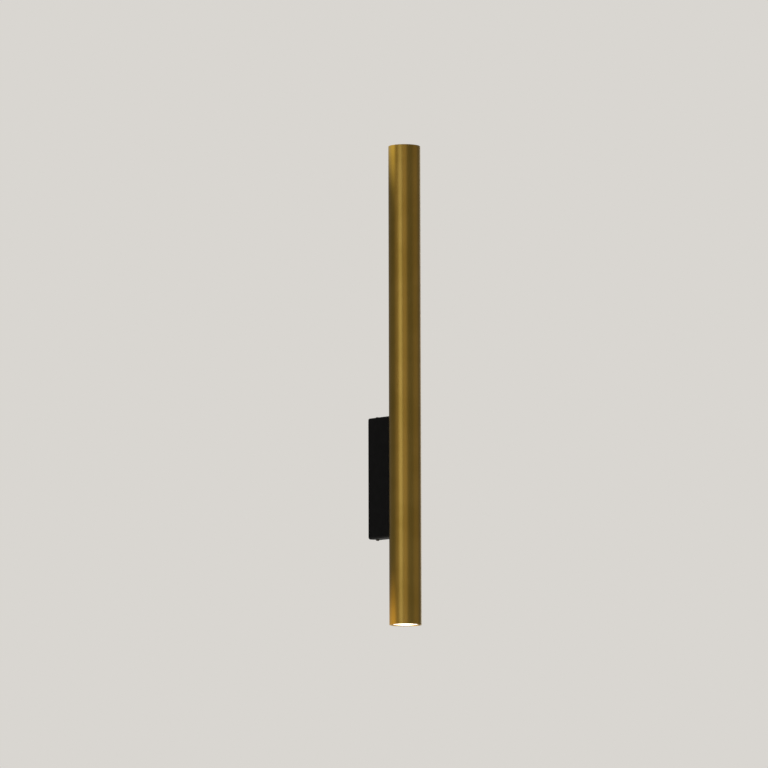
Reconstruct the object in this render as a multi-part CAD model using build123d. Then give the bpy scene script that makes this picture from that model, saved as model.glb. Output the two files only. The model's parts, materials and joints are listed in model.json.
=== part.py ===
"""Tube wall light: an upright brass tube with a lamp at each end, carried by a slim box on a wall bracket.

Millimetres. +Z is up, the wall is the plane Y = 0 and the room is on its -Y side. The origin is on the wall,
behind the middle of the mount box. Whatever sits at a tube end is drawn in that end's own frame, whose origin
is on the tube's axis at its rim and whose +Z points out of the tube.
"""

from build123d import *
import os
from math import radians, sqrt, tan

os.makedirs("parts", exist_ok=True)

# Gaps between pieces
running_gap = 0.05  # round a shaft that turns or threads into a hole
seat_gap = 0.05  # between pieces that fit into each other and stay there
slide_gap = 0.3  # between pieces that pass each other when something moves

# Tube
tube_diameter = 40.0
tube_wall = 1.5
tube_length = 600.0
tube_below_box = 110.0  # from the tube's lower rim to the box's lower end
rim_chamfer = 0.3

# Mount box
box_width = 20.0
box_height = 152.0
box_depth = 38.0  # from the wall to the nearest line of the tube
box_wall = 1.6
box_front_wall = 2.0
box_corner_radius = 3.0

# Wall bracket: a steel strip with both ends bent forward into tabs
bracket_thickness = 1.5
bracket_side_gap = 0.4
bracket_end_gap = 0.1
bracket_bend_radius = 1.5
bracket_tab_depth = 11.0
bracket_tab_corner = 2.0
wall_slot_inset = 31.0  # from the box's end to the slot's middle
wall_slot_length = 10.0
wall_slot_width = 4.4
cable_hole_height = -24.0
cable_hole_diameter = 11.0

# Rubber grommet in the bracket's cable hole
grommet_bore = 8.0
grommet_flange_diameter = 14.0
grommet_flange_thickness = 1.5

# Earth stud, pressed into the bracket from behind
stud_diameter = 4.0
stud_length = 11.0
stud_head_diameter = 5.6
stud_head_thickness = 0.7
stud_height = 22.0
nut_thickness = 3.2
nut_across_flats = 7.0
washer_diameter = 8.0
washer_thickness = 0.9

# Two small screws that hold the box on the bracket's tabs
fixing_screw_diameter = 2.5
fixing_screw_length = 6.0
fixing_head_diameter = 4.0
fixing_head_height = 1.5
fixing_socket_width = 2.0  # across the flats of the hexagon socket
fixing_socket_depth = 0.9
fixing_screw_setback = 6.0  # from the wall to the screw's axis
fixing_notch_gap = 0.15
tab_collar_wall = 0.9
tab_collar_length = 1.2

head_rim_share = 0.3  # of a screw head's height, taken off its rim

# Two screws that clamp box, tube and lamp carrier together
tube_screw_diameter = 4.0
tube_screw_length = 12.0
tube_screw_inset = 16.0  # from the box's end to the screw's axis
tube_screw_head_diameter = 8.0
tube_screw_head_height = 2.6
tube_screw_hole_gap = 0.25
clinch_nut_diameter = 6.4
clinch_nut_length = 3.2

# Bush that the leads pass through from the box into the tube
bush_inset = 38.0  # from the box's upper end to the bush's axis
bush_bore = 6.8
bush_wall = 1.0
bush_flange_diameter = 12.0
bush_flange_thickness = 1.2
bush_reach = 1.1  # past the tube's inner face

# Lamp carrier: a strip inside the tube, bent at both ends into a round seat for each lampholder
carrier_width = 14.0
carrier_thickness = 1.2
carrier_bend_radius = 1.0
carrier_seat_diameter = 29.2
carrier_lead_hole_diameter = 10.0
carrier_slot_length = 14.0
carrier_slot_width = 4.0

# Terminal block, three poles side by side
pole_pitch = 5.0
block_side_wall = 0.3
block_length = 18.0
block_depth = 12.0
block_middle_height = 4.0
clamp_width = 4.2
clamp_length = 14.0
clamp_bore = 3.4
clamp_centre_depth = 5.0  # from the block's foot to the middle of its clamps
clamp_screw_diameter = 2.4
clamp_screw_spacing = 8.0
clamp_screw_length = 5.0
block_well_gap = 0.3
block_ear_length = 8.0
block_ear_thickness = 3.0
block_ear_corner = 2.0
block_screw_diameter = 3.0
block_screw_head_diameter = 5.5
block_screw_head_height = 1.8

# Leads
lead_diameter = 1.6
conductor_diameter = 0.8
block_bare_length = 8.0
holder_bare_length = 3.0
lead_stack = 1.8  # between the two leads that share a pole
lead_spread = 3.8  # between live and neutral inside the bush
lead_straight = 5.0  # out of the terminal block before the leads turn
lead_bend_limit = 30.0
bush_bend_radius = 4.8  # of the inner lead of each pair, where it turns into the bush
tube_bend_radius = 6.0
lead_depth_in_tube = 50.0  # from the wall to the leads where they turn along the tube
ring_diameter = 8.0
ring_thickness = 0.8
barrel_diameter = 3.0
barrel_length = 6.0

# Lamp with a two-pin twist base
lamp_recess = 1.0  # from the tube's rim to the lamp's face
lamp_side_gap = 1.0  # between the lamp and the tube
lamp_rim_width = 1.2  # beside the lens
lamp_rim_height = 7.0
lamp_length = 44.0  # from its face to the foot of its base
lamp_neck_diameter = 23.6
lamp_base_height = 13.0
lamp_boss_height = 4.0
lamp_boss_diameter = 19.6
lamp_boss_flats = 17.0
lamp_spigot_diameter = 16.0
lamp_spigot_height = 6.0
lens_thickness = 2.4
lens_inset = 0.3
lens_ledge = 1.2
board_side_gap = 0.3
board_thickness = 1.6
board_below_lens = 6.0
led_size = 3.5
led_height = 0.8
led_circle_diameter = 12.0
led_count = 3
fin_count = 14
fin_slot_width = 1.8
fin_root_diameter = 21.0
fin_margin = 1.6
pin_spacing = 10.0
pin_neck_diameter = 3.0
pin_head_diameter = 5.0
pin_head_height = 2.6
pin_root_length = 5.0
twist_angle = 35.0

# Lampholder
holder_diameter = 28.0
holder_body_height = 12.0
holder_plate_thickness = 3.4
holder_cover_height = 4.0
holder_edge_chamfer = 0.8
holder_screw_diameter = 3.0
holder_screw_circle_diameter = 19.0
holder_screw_head_diameter = 5.5
holder_screw_head_height = 2.0
holder_screw_sink = 3.0
holder_screw_tip = 2.0  # past the carrier's seat
holder_screw_hole_gap = 0.15
holder_lead_hole_diameter = 2.4
pin_path_gap = 0.4  # beside the pins in the holder's slots and pockets
contact_thickness = 0.4
contact_width = 3.0
contact_foot_length = 3.0
contact_bend_radius = 0.7

# Worked out from the above
tube_radius = tube_diameter / 2
bore_radius = tube_radius - tube_wall
tube_y = -(box_depth + tube_radius)
tube_bottom = -box_height / 2 - tube_below_box
tube_top = tube_bottom + tube_length
seat_radius = tube_radius + seat_gap
box_front_y = -(box_depth - box_front_wall)  # inner face of the box's front wall
box_inner_width = box_width - 2 * box_wall
tube_screw_heights = (tube_screw_inset - box_height / 2, box_height / 2 - tube_screw_inset)
lamp_diameter = 2 * (bore_radius - lamp_side_gap)
lens_diameter = lamp_diameter - 2 * lamp_rim_width
board_diameter = lens_diameter - 2 * (lens_ledge + board_side_gap)
carrier_back_y = tube_y + sqrt((bore_radius - seat_gap) ** 2 - (carrier_width / 2) ** 2)
carrier_front_y = carrier_back_y - carrier_thickness
bush_height = box_height / 2 - bush_inset
bush_radius = bush_bore / 2 + bush_wall
block_width = 3 * pole_pitch + 2 * block_side_wall
block_back_y = box_front_y + block_depth
block_bottom = block_middle_height - block_length / 2
block_top = block_middle_height + block_length / 2
clamp_y = box_front_y + clamp_centre_depth
clamp_screw_heights = [block_middle_height + side * clamp_screw_spacing / 2 for side in (-1, 1)]
lamp_face_z = -lamp_recess
lamp_foot_z = lamp_face_z - lamp_length
lamp_neck_z = lamp_foot_z + lamp_base_height
holder_face_z = lamp_foot_z - slide_gap
holder_plate_z = holder_face_z - holder_plate_thickness
holder_joint_z = holder_face_z - holder_body_height
holder_back_z = holder_joint_z - holder_cover_height
pin_head_z = holder_plate_z - slide_gap
lens_front_z = lamp_face_z - lens_inset
lens_back_z = lens_front_z - lens_thickness
board_front_z = lens_back_z - board_below_lens
board_back_z = board_front_z - board_thickness
rest_angle = -twist_angle / 2  # the pins lock on one side of the middle and leave on the other


def along_y(radius, y_from, y_to, x=0.0, z=0.0):
    """A round bar along Y between two depths."""
    return Pos(x, (y_from + y_to) / 2, z) * Rot(90, 0, 0) * Cylinder(radius, abs(y_to - y_from))


def along_z(radius, z_from, z_to, x=0.0, y=0.0):
    """A round bar along Z between two heights."""
    return Pos(x, y, (z_from + z_to) / 2) * Cylinder(radius, abs(z_to - z_from))


def block_between(low, high):
    """A square-cornered block between two opposite corners."""
    size = [b - a for a, b in zip(low, high)]
    middle = [(a + b) / 2 for a, b in zip(low, high)]
    return Pos(*middle) * Box(*size)


def headed(shank_radius, length, head_radius, head_height):
    """A plain screw pointing to -Z, the underside of its head at the origin and its rim chamfered."""
    head = along_z(head_radius, 0, head_height)
    rim = head.edges().filter_by(GeomType.CIRCLE).sort_by(Axis.Z)[-1]
    return along_z(shank_radius, -length, 0) + chamfer(rim, head_height * head_rim_share)


def ring_along_y(outer_diameter, inner_diameter, y_back, y_front, z):
    """A washer or bushing whose hole runs along Y."""
    hole = along_y(inner_diameter / 2, y_back + 1, y_front - 1, z=z)
    return along_y(outer_diameter / 2, y_back, y_front, z=z) - hole


def channel(back_y, bottom, top, depth, thickness, bend_radius, width):
    """A strip along Z whose ends are bent to -Y, seen from the side as a square-cornered C."""

    def outline(inset, radius):
        low, high = bottom + inset, top - inset
        front_y = back_y - depth - inset
        back = back_y - inset
        face = make_face(Polyline((back, low), (back, high), (front_y, high), (front_y, low), close=True))
        return fillet([v for v in face.vertices() if abs(v.X - back) < inset / 2 + 0.01], radius)

    profile = outline(0.0, bend_radius + thickness) - outline(thickness, bend_radius)
    strip = extrude(Plane.YZ * profile, width / 2, both=True)
    return strip


def tube_body():
    """The brass tube, with holes in its back for the two screws and the bush."""
    tube = Cylinder(tube_radius, tube_length) - Cylinder(bore_radius, tube_length)
    rims = [e for e in tube.edges().filter_by(GeomType.CIRCLE)]
    tube = Pos(0, tube_y, (tube_bottom + tube_top) / 2) * chamfer(rims, rim_chamfer)
    for z in tube_screw_heights:
        tube -= along_y(tube_screw_diameter / 2 + tube_screw_hole_gap, tube_y, -box_depth, z=z)
    return tube - along_y(bush_radius + seat_gap, tube_y, -box_depth, z=bush_height)


def mount_box():
    """The slim box between wall and tube: open at the wall, its front hollowed out to seat the tube."""
    saddle_depth = seat_radius - sqrt(seat_radius**2 - (box_width / 2) ** 2)
    inner_corner = box_corner_radius - box_wall

    outer = RectangleRounded(box_width, box_height, box_corner_radius)
    inner = RectangleRounded(box_inner_width, box_height - 2 * box_wall, inner_corner)
    box = extrude(Plane.XZ * outer, box_depth + saddle_depth)
    box -= extrude(Plane.XZ * inner, -box_front_y)
    box -= along_z(seat_radius, -box_height, box_height, y=tube_y)
    for z in tube_screw_heights:
        box -= along_y(tube_screw_diameter / 2 + tube_screw_hole_gap, 0, tube_y, z=z)
    box -= along_y(bush_radius + seat_gap, 0, tube_y, z=bush_height)
    box -= along_y(block_screw_diameter / 2 + running_gap, 0, tube_y, z=block_screw_height())

    # Both ends are notched from the wall side, so the box slides on behind the loosened screws' heads.
    notch_radius = fixing_screw_diameter / 2 + fixing_notch_gap
    for end in (-1, 1):
        z = end * box_height / 2
        box -= along_z(notch_radius, z - 2 * box_wall, z + 2 * box_wall, y=-fixing_screw_setback)
        corner = (notch_radius, 0, z + 2 * box_wall)
        box -= block_between((-notch_radius, -fixing_screw_setback, z - 2 * box_wall), corner)
    return box


def wall_bracket():
    """The steel strip on the wall: two slots, the cable and stud holes, and a threaded tab at each end."""
    width = box_inner_width - 2 * bracket_side_gap
    end_z = box_height / 2 - box_wall - bracket_end_gap
    bracket = channel(0, -end_z, end_z, bracket_tab_depth, bracket_thickness, bracket_bend_radius, width)
    front_corners = bracket.edges().filter_by(Axis.Z).group_by(Axis.Y)[0]
    bracket = fillet(front_corners, bracket_tab_corner)
    outline = RectangleRounded(width, 2 * end_z, box_corner_radius - box_wall)
    bracket &= extrude(Plane.XZ * outline, bracket_tab_depth)

    slot = SlotOverall(wall_slot_length, wall_slot_width, rotation=90)
    slot_height = box_height / 2 - wall_slot_inset
    for z in (-slot_height, slot_height):
        bracket -= extrude(Plane.XZ * Pos(0, z) * slot, bracket_thickness * 2)
    bracket -= along_y(cable_hole_diameter / 2, 1, -2 * bracket_thickness, z=cable_hole_height)
    bracket -= along_y(stud_diameter / 2 + seat_gap, 1, -2 * bracket_thickness, z=stud_height)
    bracket -= along_y(stud_head_diameter / 2 + seat_gap, 1, -stud_head_thickness, z=stud_height)

    thread_radius = fixing_screw_diameter / 2 + running_gap
    for end in (-1, 1):
        collar_z = end * (end_z - bracket_thickness - tab_collar_length)
        bracket += along_z(thread_radius + tab_collar_wall, end * (end_z - 0.5 * bracket_thickness), collar_z,
                           y=-fixing_screw_setback)
        bracket -= along_z(thread_radius, end * (end_z + 1), end * (end_z - 4 * bracket_thickness),
                           y=-fixing_screw_setback)
    return bracket


def cable_grommet():
    """The rubber sleeve that lines the bracket's cable hole, flanged on the room side."""
    flange_y = -bracket_thickness
    sleeve_diameter = cable_hole_diameter - 2 * seat_gap
    grommet = ring_along_y(sleeve_diameter, grommet_bore, 0, flange_y, cable_hole_height)
    lip = ring_along_y(grommet_flange_diameter, grommet_bore, flange_y, flange_y - grommet_flange_thickness,
                       cable_hole_height)
    return grommet + lip


def earth_stud():
    """The stud for the supply's earth core, its head flush with the bracket's back."""
    return along_y(stud_diameter / 2, 0, -stud_length, z=stud_height) + along_y(
        stud_head_diameter / 2, 0, -stud_head_thickness + seat_gap, z=stud_height)


def earth_washers():
    """Two washers on the stud, which the earth core goes between."""
    first_y = -bracket_thickness
    washers = [ring_along_y(washer_diameter, stud_diameter + 2 * seat_gap, first_y - i * washer_thickness,
                            first_y - (i + 1) * washer_thickness + seat_gap, stud_height) for i in range(2)]
    return Compound(children=washers)


def earth_nut():
    """The hexagon nut on the stud."""
    nut_y = -bracket_thickness - 2 * washer_thickness
    hexagon = RegularPolygon(nut_across_flats / 2, 6, major_radius=False)
    nut = extrude(Plane.XZ.offset(-nut_y) * Pos(0, stud_height) * hexagon, nut_thickness)
    return nut - along_y(stud_diameter / 2 + running_gap, 0, -2 * stud_length, z=stud_height)


def fixing_screw(end):
    """One of the small screws that hold the box, at its top (end 1) or bottom (end -1)."""
    head_radius = fixing_head_diameter / 2
    screw = headed(fixing_screw_diameter / 2, fixing_screw_length, head_radius, fixing_head_height)
    socket = extrude(RegularPolygon(fixing_socket_width / 2, 6, major_radius=False), fixing_socket_depth)
    screw -= Pos(0, 0, fixing_head_height - fixing_socket_depth) * socket
    screw = Pos(0, 0, box_height / 2 + seat_gap) * screw
    return Pos(0, -fixing_screw_setback, 0) * (screw if end > 0 else Rot(0, 180, 0) * screw)


def stack_under_head(z):
    """Thickness under a tube screw's head: the lock washer, and on the upper one the earth ring too."""
    return washer_thickness + (ring_thickness if z > 0 else 0.0)


def tube_screws():
    """The two screws that clamp box, tube and carrier."""
    head_radius = tube_screw_head_diameter / 2
    screw = headed(tube_screw_diameter / 2, tube_screw_length, head_radius, tube_screw_head_height)
    screw = Rot(-90, 0, 0) * screw
    screws = [Pos(0, box_front_y + stack_under_head(z), z) * screw for z in tube_screw_heights]
    return Compound(children=screws)


def tube_screw_washers():
    """The lock washers under the tube screws' heads."""
    washers = []
    for z in tube_screw_heights:
        head_y = box_front_y + stack_under_head(z)
        washers.append(ring_along_y(washer_diameter, tube_screw_diameter + 2 * seat_gap, head_y,
                                    head_y - washer_thickness, z))
    return Compound(children=washers)


def carrier_nuts():
    """The round nuts pressed onto the carrier, which the tube screws thread into."""
    nuts = [ring_along_y(clinch_nut_diameter, tube_screw_diameter + 2 * running_gap, carrier_front_y,
                         carrier_front_y - clinch_nut_length, z) for z in tube_screw_heights]
    return Compound(children=nuts)


def cable_bush():
    """The flanged bush through the box's front wall and the tube's back."""
    end_y = -box_depth - tube_wall - bush_reach
    sleeve = ring_along_y(2 * bush_radius, bush_bore, box_front_y, end_y, bush_height)
    return sleeve + ring_along_y(bush_flange_diameter, bush_bore, box_front_y + bush_flange_thickness,
                                 box_front_y, bush_height)


def lamp_carrier():
    """The strip along the tube's back, with a round seat for a lampholder at each end."""
    bottom, top = tube_bottom - holder_back_z, tube_top + holder_back_z
    reach, thickness = carrier_back_y - tube_y, carrier_thickness
    carrier = channel(carrier_back_y, bottom, top, reach, thickness, carrier_bend_radius, carrier_width)
    wire_slot = SlotOverall(carrier_slot_length, carrier_slot_width)
    for seat_z, inward in ((bottom, 1), (top, -1)):
        seat = Pos(0, tube_y, seat_z) * extrude(Circle(carrier_seat_diameter / 2), inward * carrier_thickness)
        slot = Pos(0, tube_y, seat_z) * extrude(wire_slot, carrier_thickness, both=True)
        carrier = carrier + seat - slot
        for side in (-1, 1):
            carrier -= along_z(holder_screw_diameter / 2 + running_gap, seat_z - 2 * carrier_thickness,
                               seat_z + 2 * carrier_thickness,
                               y=tube_y + side * holder_screw_circle_diameter / 2)
    for z in tube_screw_heights:
        carrier -= along_y(tube_screw_diameter / 2 + running_gap, 0, tube_y, z=z)
    return carrier - along_y(carrier_lead_hole_diameter / 2, 0, tube_y, z=bush_height)


def block_screw_height():
    """Height of the screw through the terminal block's ear."""
    return block_bottom - block_ear_length / 2


def pole_positions():
    """X of the block's three poles: live, earth, neutral."""
    return [(i - 1) * pole_pitch for i in range(3)]


def terminal_block():
    """The block's moulded body: three square tunnels, a well over each clamp screw, and a fixing ear."""
    half_width, tunnel = block_width / 2, clamp_width / 2 + seat_gap
    block = block_between((-half_width, box_front_y, block_bottom), (half_width, block_back_y, block_top))
    for x in pole_positions():
        low = (x - tunnel, clamp_y - tunnel, block_bottom)
        block -= block_between(low, (x + tunnel, clamp_y + tunnel, block_top))
        for z in clamp_screw_heights:
            block -= along_y(clamp_screw_diameter / 2 + block_well_gap, clamp_y, block_back_y + 1, x=x, z=z)

    ear_z = block_bottom - block_ear_length
    ear = block_between((-half_width, box_front_y, ear_z),
                        (half_width, box_front_y + block_ear_thickness, block_bottom))
    ear = fillet(ear.edges().filter_by(Axis.Y).group_by(Axis.Z)[0], block_ear_corner)
    block += ear
    return block - along_y(block_screw_diameter / 2 + seat_gap, 0, 2 * box_front_y, z=block_screw_height())


def terminal_clamps():
    """The three brass clamps inside the block."""
    clamps = []
    for x in pole_positions():
        clamp = Pos(x, clamp_y, block_middle_height) * Box(clamp_width, clamp_width, clamp_length)
        clamp -= along_z(clamp_bore / 2, block_bottom, block_top, x=x, y=clamp_y)
        for z in clamp_screw_heights:
            clamp -= along_y(clamp_screw_diameter / 2 + running_gap, clamp_y, block_back_y, x=x, z=z)
        clamps.append(clamp)
    return Compound(children=clamps)


def terminal_screws():
    """The block's clamp screws, which press on the cores in the clamps."""
    tip_y = clamp_y + conductor_diameter / 2 + lead_stack / 2
    screws = [along_y(clamp_screw_diameter / 2, tip_y, tip_y + clamp_screw_length, x=x, z=z)
              for x in pole_positions() for z in clamp_screw_heights]
    return Compound(children=screws)


def terminal_block_screw():
    """The screw through the block's ear into the box's front wall, short of the tube."""
    head_y = box_front_y + block_ear_thickness
    length = head_y + box_depth - 2 * seat_gap
    screw = headed(block_screw_diameter / 2, length, block_screw_head_diameter / 2, block_screw_head_height)
    return Pos(0, head_y, block_screw_height()) * Rot(-90, 0, 0) * screw


def bend_radii(points, limits):
    """The radius at each turn of a route: as large as its two runs allow, up to that turn's own limit."""
    radii = []
    for before, corner, after, limit in zip(points, points[1:], points[2:], limits):
        arriving, leaving = Vector(*corner) - Vector(*before), Vector(*after) - Vector(*corner)
        half_turn = radians(arriving.get_angle(leaving)) / 2
        shorter = min(arriving.length, leaving.length)
        radii.append(min(limit, 0.45 * shorter / tan(half_turn)))
    return radii


def lead(name, points, limits, far_bare_length):
    """An insulated lead along straight runs and arcs, stripped at the terminal block and at its far end."""
    radii = bend_radii(points, limits)
    route = FilletPolyline(*points, radius=radii)
    piece = sweep(Plane(origin=route @ 0, z_dir=route % 0) * Circle(lead_diameter / 2), path=route)
    sleeve = Circle(lead_diameter) - Circle(conductor_diameter / 2)
    expected = route.length * Circle(lead_diameter / 2).area
    ends = ((0, 1, block_bare_length), (1, -1, far_bare_length))
    for where, inward, bare_length in ends:
        start = Plane(origin=route @ where, z_dir=(route % where) * inward)
        piece -= start * extrude(sleeve, bare_length)
        expected -= bare_length * (Circle(lead_diameter / 2).area - Circle(conductor_diameter / 2).area)
    print(f"{name}: length {route.length:.0f}, radii {[round(r, 1) for r in radii]}, "
          f"volume over section times length {piece.volume / expected:.4f}")
    return piece


def lamp_lead(name, side, end):
    """The lead from a pole (side -1 live, 1 neutral) through the bush to the upper or lower lampholder.

    The lead to the upper holder (end 1) lies nearer to the wall in its pole, so that the two leads of a pole
    turn into the bush side by side.
    """
    x_pole, x_bush = side * pole_pitch, side * lead_spread / 2
    y = clamp_y + end * lead_stack / 2
    z_bush = bush_height + end * lead_stack / 2
    y_tube = -lead_depth_in_tube
    rim_z = tube_top if end > 0 else tube_bottom
    entry_z = rim_z + end * (holder_back_z + holder_bare_length)
    points = [
        (x_pole, y, block_middle_height),
        (x_pole, y, block_top + lead_straight),
        (x_bush, y, z_bush),
        (x_bush, y_tube, z_bush),
        (side * pin_spacing / 2, tube_y, entry_z),
    ]
    outer_bend = bush_bend_radius + (lead_stack if end > 0 else 0.0)
    limits = [lead_bend_limit, outer_bend, tube_bend_radius]
    return lead(name, points, limits, holder_bare_length)


def ring_barrel_y():
    """Depth of the axis of the earth ring's barrel."""
    return box_front_y + barrel_diameter / 2 + seat_gap


def earth_ring_terminal():
    """The crimped ring on the earth lead, under the upper tube screw."""
    z = tube_screw_heights[1]
    ring_back_y = box_front_y + ring_thickness
    ring = ring_along_y(ring_diameter, tube_screw_diameter + 2 * seat_gap, ring_back_y, box_front_y, z)
    barrel_top = z - ring_diameter / 2
    barrel = along_z(barrel_diameter / 2, barrel_top - barrel_length, barrel_top, y=ring_barrel_y())
    tongue = block_between((-barrel_diameter / 2, box_front_y, barrel_top - barrel_length / 3),
                           (barrel_diameter / 2, ring_back_y, z - ring_diameter / 3))
    bore_top = barrel_top - barrel_length / 3
    bore = along_z(lead_diameter / 2 + seat_gap, barrel_top - barrel_length, bore_top, y=ring_barrel_y())
    return ring + tongue + barrel - bore


def earth_lead():
    """The lead from the block's middle pole to the ring under the upper tube screw."""
    barrel_bottom = tube_screw_heights[1] - ring_diameter / 2 - barrel_length
    past_bush = bush_height + bush_flange_diameter / 4
    points = [
        (0, clamp_y, block_middle_height),
        (0, clamp_y, past_bush),
        (0, ring_barrel_y(), barrel_bottom - lead_diameter),
        (0, ring_barrel_y(), barrel_bottom + barrel_length / 2),
    ]
    return lead("earth_lead", points, [lead_bend_limit, lead_bend_limit], barrel_length / 2)


def at_end(piece, end):
    """Puts a piece drawn in an end's frame at the upper (end 1) or lower (end -1) end of the tube."""
    if end > 0:
        return Pos(0, tube_y, tube_top) * piece
    return Pos(0, tube_y, tube_bottom) * Rot(0, 180, 0) * piece


def lamp_heatsink():
    """The lamp's finned aluminium shell, open in front for the lens and the board."""
    rim_radius, neck_radius = lamp_diameter / 2, lamp_neck_diameter / 2
    rim_z = lamp_face_z - lamp_rim_height
    lens_radius = lens_diameter / 2 + seat_gap
    chamber_radius = lens_radius - lens_ledge
    spigot_radius = lamp_spigot_diameter / 2 + seat_gap
    spigot_z = lamp_neck_z + lamp_spigot_height + seat_gap
    half = Polyline(
        (0, board_back_z), (chamber_radius, board_back_z), (chamber_radius, lens_back_z),
        (lens_radius, lens_back_z), (lens_radius, lamp_face_z), (rim_radius, lamp_face_z),
        (rim_radius, rim_z), (neck_radius, lamp_neck_z), (spigot_radius, lamp_neck_z),
        (spigot_radius, spigot_z), (0, spigot_z), close=True)
    shell = revolve(Plane.XZ * make_face(half), Axis.Z)

    slot_top, slot_bottom = board_back_z - fin_margin, lamp_neck_z + fin_margin
    slot = block_between((fin_root_diameter / 2, -fin_slot_width / 2, slot_bottom),
                         (lamp_diameter, fin_slot_width / 2, slot_top))
    for i in range(fin_count):
        shell -= Rot(0, 0, 360 / fin_count * i) * slot
    return shell


def lamp_base():
    """The lamp's plastic foot, with a spigot in the shell and a flatted boss round the pins."""
    boss_top = lamp_foot_z + lamp_boss_height
    body = along_z(lamp_neck_diameter / 2, boss_top, lamp_neck_z)
    body = chamfer(body.edges().filter_by(GeomType.CIRCLE).sort_by(Axis.Z)[0], lamp_boss_height / 4)
    spigot = along_z(lamp_spigot_diameter / 2, lamp_neck_z, lamp_neck_z + lamp_spigot_height)
    boss = along_z(lamp_boss_diameter / 2, lamp_foot_z, boss_top)
    boss &= Pos(0, 0, (lamp_foot_z + boss_top) / 2) * Box(lamp_diameter, lamp_boss_flats, lamp_boss_height)
    base = body + spigot + boss
    for side in (-1, 1):
        base -= along_z(pin_neck_diameter / 2 + seat_gap, lamp_foot_z - 1, lamp_foot_z + pin_root_length,
                        x=side * pin_spacing / 2)
    return base


def lamp_lens():
    """The lamp's front cover."""
    lens = along_z(lens_diameter / 2, lens_back_z, lens_front_z)
    return chamfer(lens.edges().filter_by(GeomType.CIRCLE).sort_by(Axis.Z)[-1], lens_thickness / 3)


def lamp_board():
    """The lamp's board with its light-emitting chips."""
    board = along_z(board_diameter / 2, board_back_z, board_front_z)
    chip = Pos(led_circle_diameter / 2, 0, board_front_z) * Box(led_size, led_size, 2 * led_height)
    for i in range(led_count):
        board += Rot(0, 0, 360 / led_count * i) * chip
    return board


def lamp_pins():
    """The two mushroom-headed pins of the lamp's base."""
    length = lamp_foot_z + pin_root_length - seat_gap - pin_head_z
    pin = Rot(180, 0, 0) * headed(pin_neck_diameter / 2, length, pin_head_diameter / 2, pin_head_height)
    pins = [Pos(side * pin_spacing / 2, 0, pin_head_z) * pin for side in (-1, 1)]
    return Compound(children=pins)


def twist_path(width, with_entry):
    """The outline that both pins sweep as the lamp twists, with their heads' entry holes if asked."""
    radius = pin_spacing / 2
    outline = Sketch()
    for turn in (0, 180):
        arc = CenterArc((0, 0), radius, rest_angle + turn, twist_angle)
        outline += SlotArc(arc, width)
        if with_entry:
            entry_radius = pin_head_diameter / 2 + pin_path_gap
            outline += Rot(0, 0, -rest_angle + turn) * Pos(radius, 0) * Circle(entry_radius)
    return outline


def lampholder_body():
    """The ceramic holder: two keyhole slots, and behind each a pocket for the pin and its contact."""
    body = along_z(holder_diameter / 2, holder_joint_z, holder_face_z)
    body = chamfer(body.edges().filter_by(GeomType.CIRCLE).sort_by(Axis.Z)[-1], holder_edge_chamfer)
    slots = twist_path(pin_neck_diameter + 2 * pin_path_gap, with_entry=True)
    pockets = twist_path(pin_head_diameter + 2 * pin_path_gap, with_entry=False)
    body -= Pos(0, 0, holder_plate_z - 1) * extrude(slots, holder_plate_thickness + 2)
    body -= Pos(0, 0, holder_joint_z) * extrude(pockets, holder_plate_z - holder_joint_z)
    sink_radius = holder_screw_head_diameter / 2 + holder_screw_hole_gap
    for side in (-1, 1):
        y = side * holder_screw_circle_diameter / 2
        body -= along_z(holder_screw_diameter / 2 + holder_screw_hole_gap, holder_joint_z, holder_face_z, y=y)
        body -= along_z(sink_radius, holder_face_z - holder_screw_sink, holder_face_z, y=y)
    return body


def lampholder_cover():
    """The ceramic disc that closes the holder's back."""
    cover = along_z(holder_diameter / 2, holder_back_z, holder_joint_z)
    screw_hole_radius = holder_screw_diameter / 2 + holder_screw_hole_gap
    lead_hole_radius = holder_lead_hole_diameter / 2
    for side in (-1, 1):
        screw_y, lead_x = side * holder_screw_circle_diameter / 2, side * pin_spacing / 2
        cover -= along_z(screw_hole_radius, holder_back_z, holder_joint_z, y=screw_y)
        cover -= along_z(lead_hole_radius, holder_back_z, holder_joint_z, x=lead_x)
    return cover


def lampholder_contacts():
    """The two bent contact strips, one in each pocket, which reach up under the pins' heads."""
    foot_z = holder_joint_z + contact_thickness / 2
    tip_z = pin_head_z - pin_head_height - slide_gap - contact_thickness / 2
    middle_x = pin_spacing / 2
    inner_x, outer_x = middle_x - contact_foot_length / 2, middle_x + contact_foot_length / 2
    line = FilletPolyline((outer_x, foot_z), (inner_x, foot_z), (inner_x, tip_z), (outer_x, tip_z),
                          radius=contact_bend_radius)
    strip = extrude(Plane.XZ * trace(line, contact_thickness), contact_width / 2, both=True)
    return Compound(children=[strip, Rot(0, 0, 180) * strip])


def lampholder_screws():
    """The two screws that hold the holder on the carrier's seat."""
    head_z = holder_face_z - holder_screw_sink
    length = head_z - holder_back_z + carrier_thickness + holder_screw_tip
    head_radius = holder_screw_head_diameter / 2
    screw = headed(holder_screw_diameter / 2, length, head_radius, holder_screw_head_height)
    screws = [Pos(0, side * holder_screw_circle_diameter / 2, head_z) * screw for side in (-1, 1)]
    return Compound(children=screws)


def write(name, piece):
    """Writes one sub-part to its file."""
    export_step(piece, f"parts/{name}.step")


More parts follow.
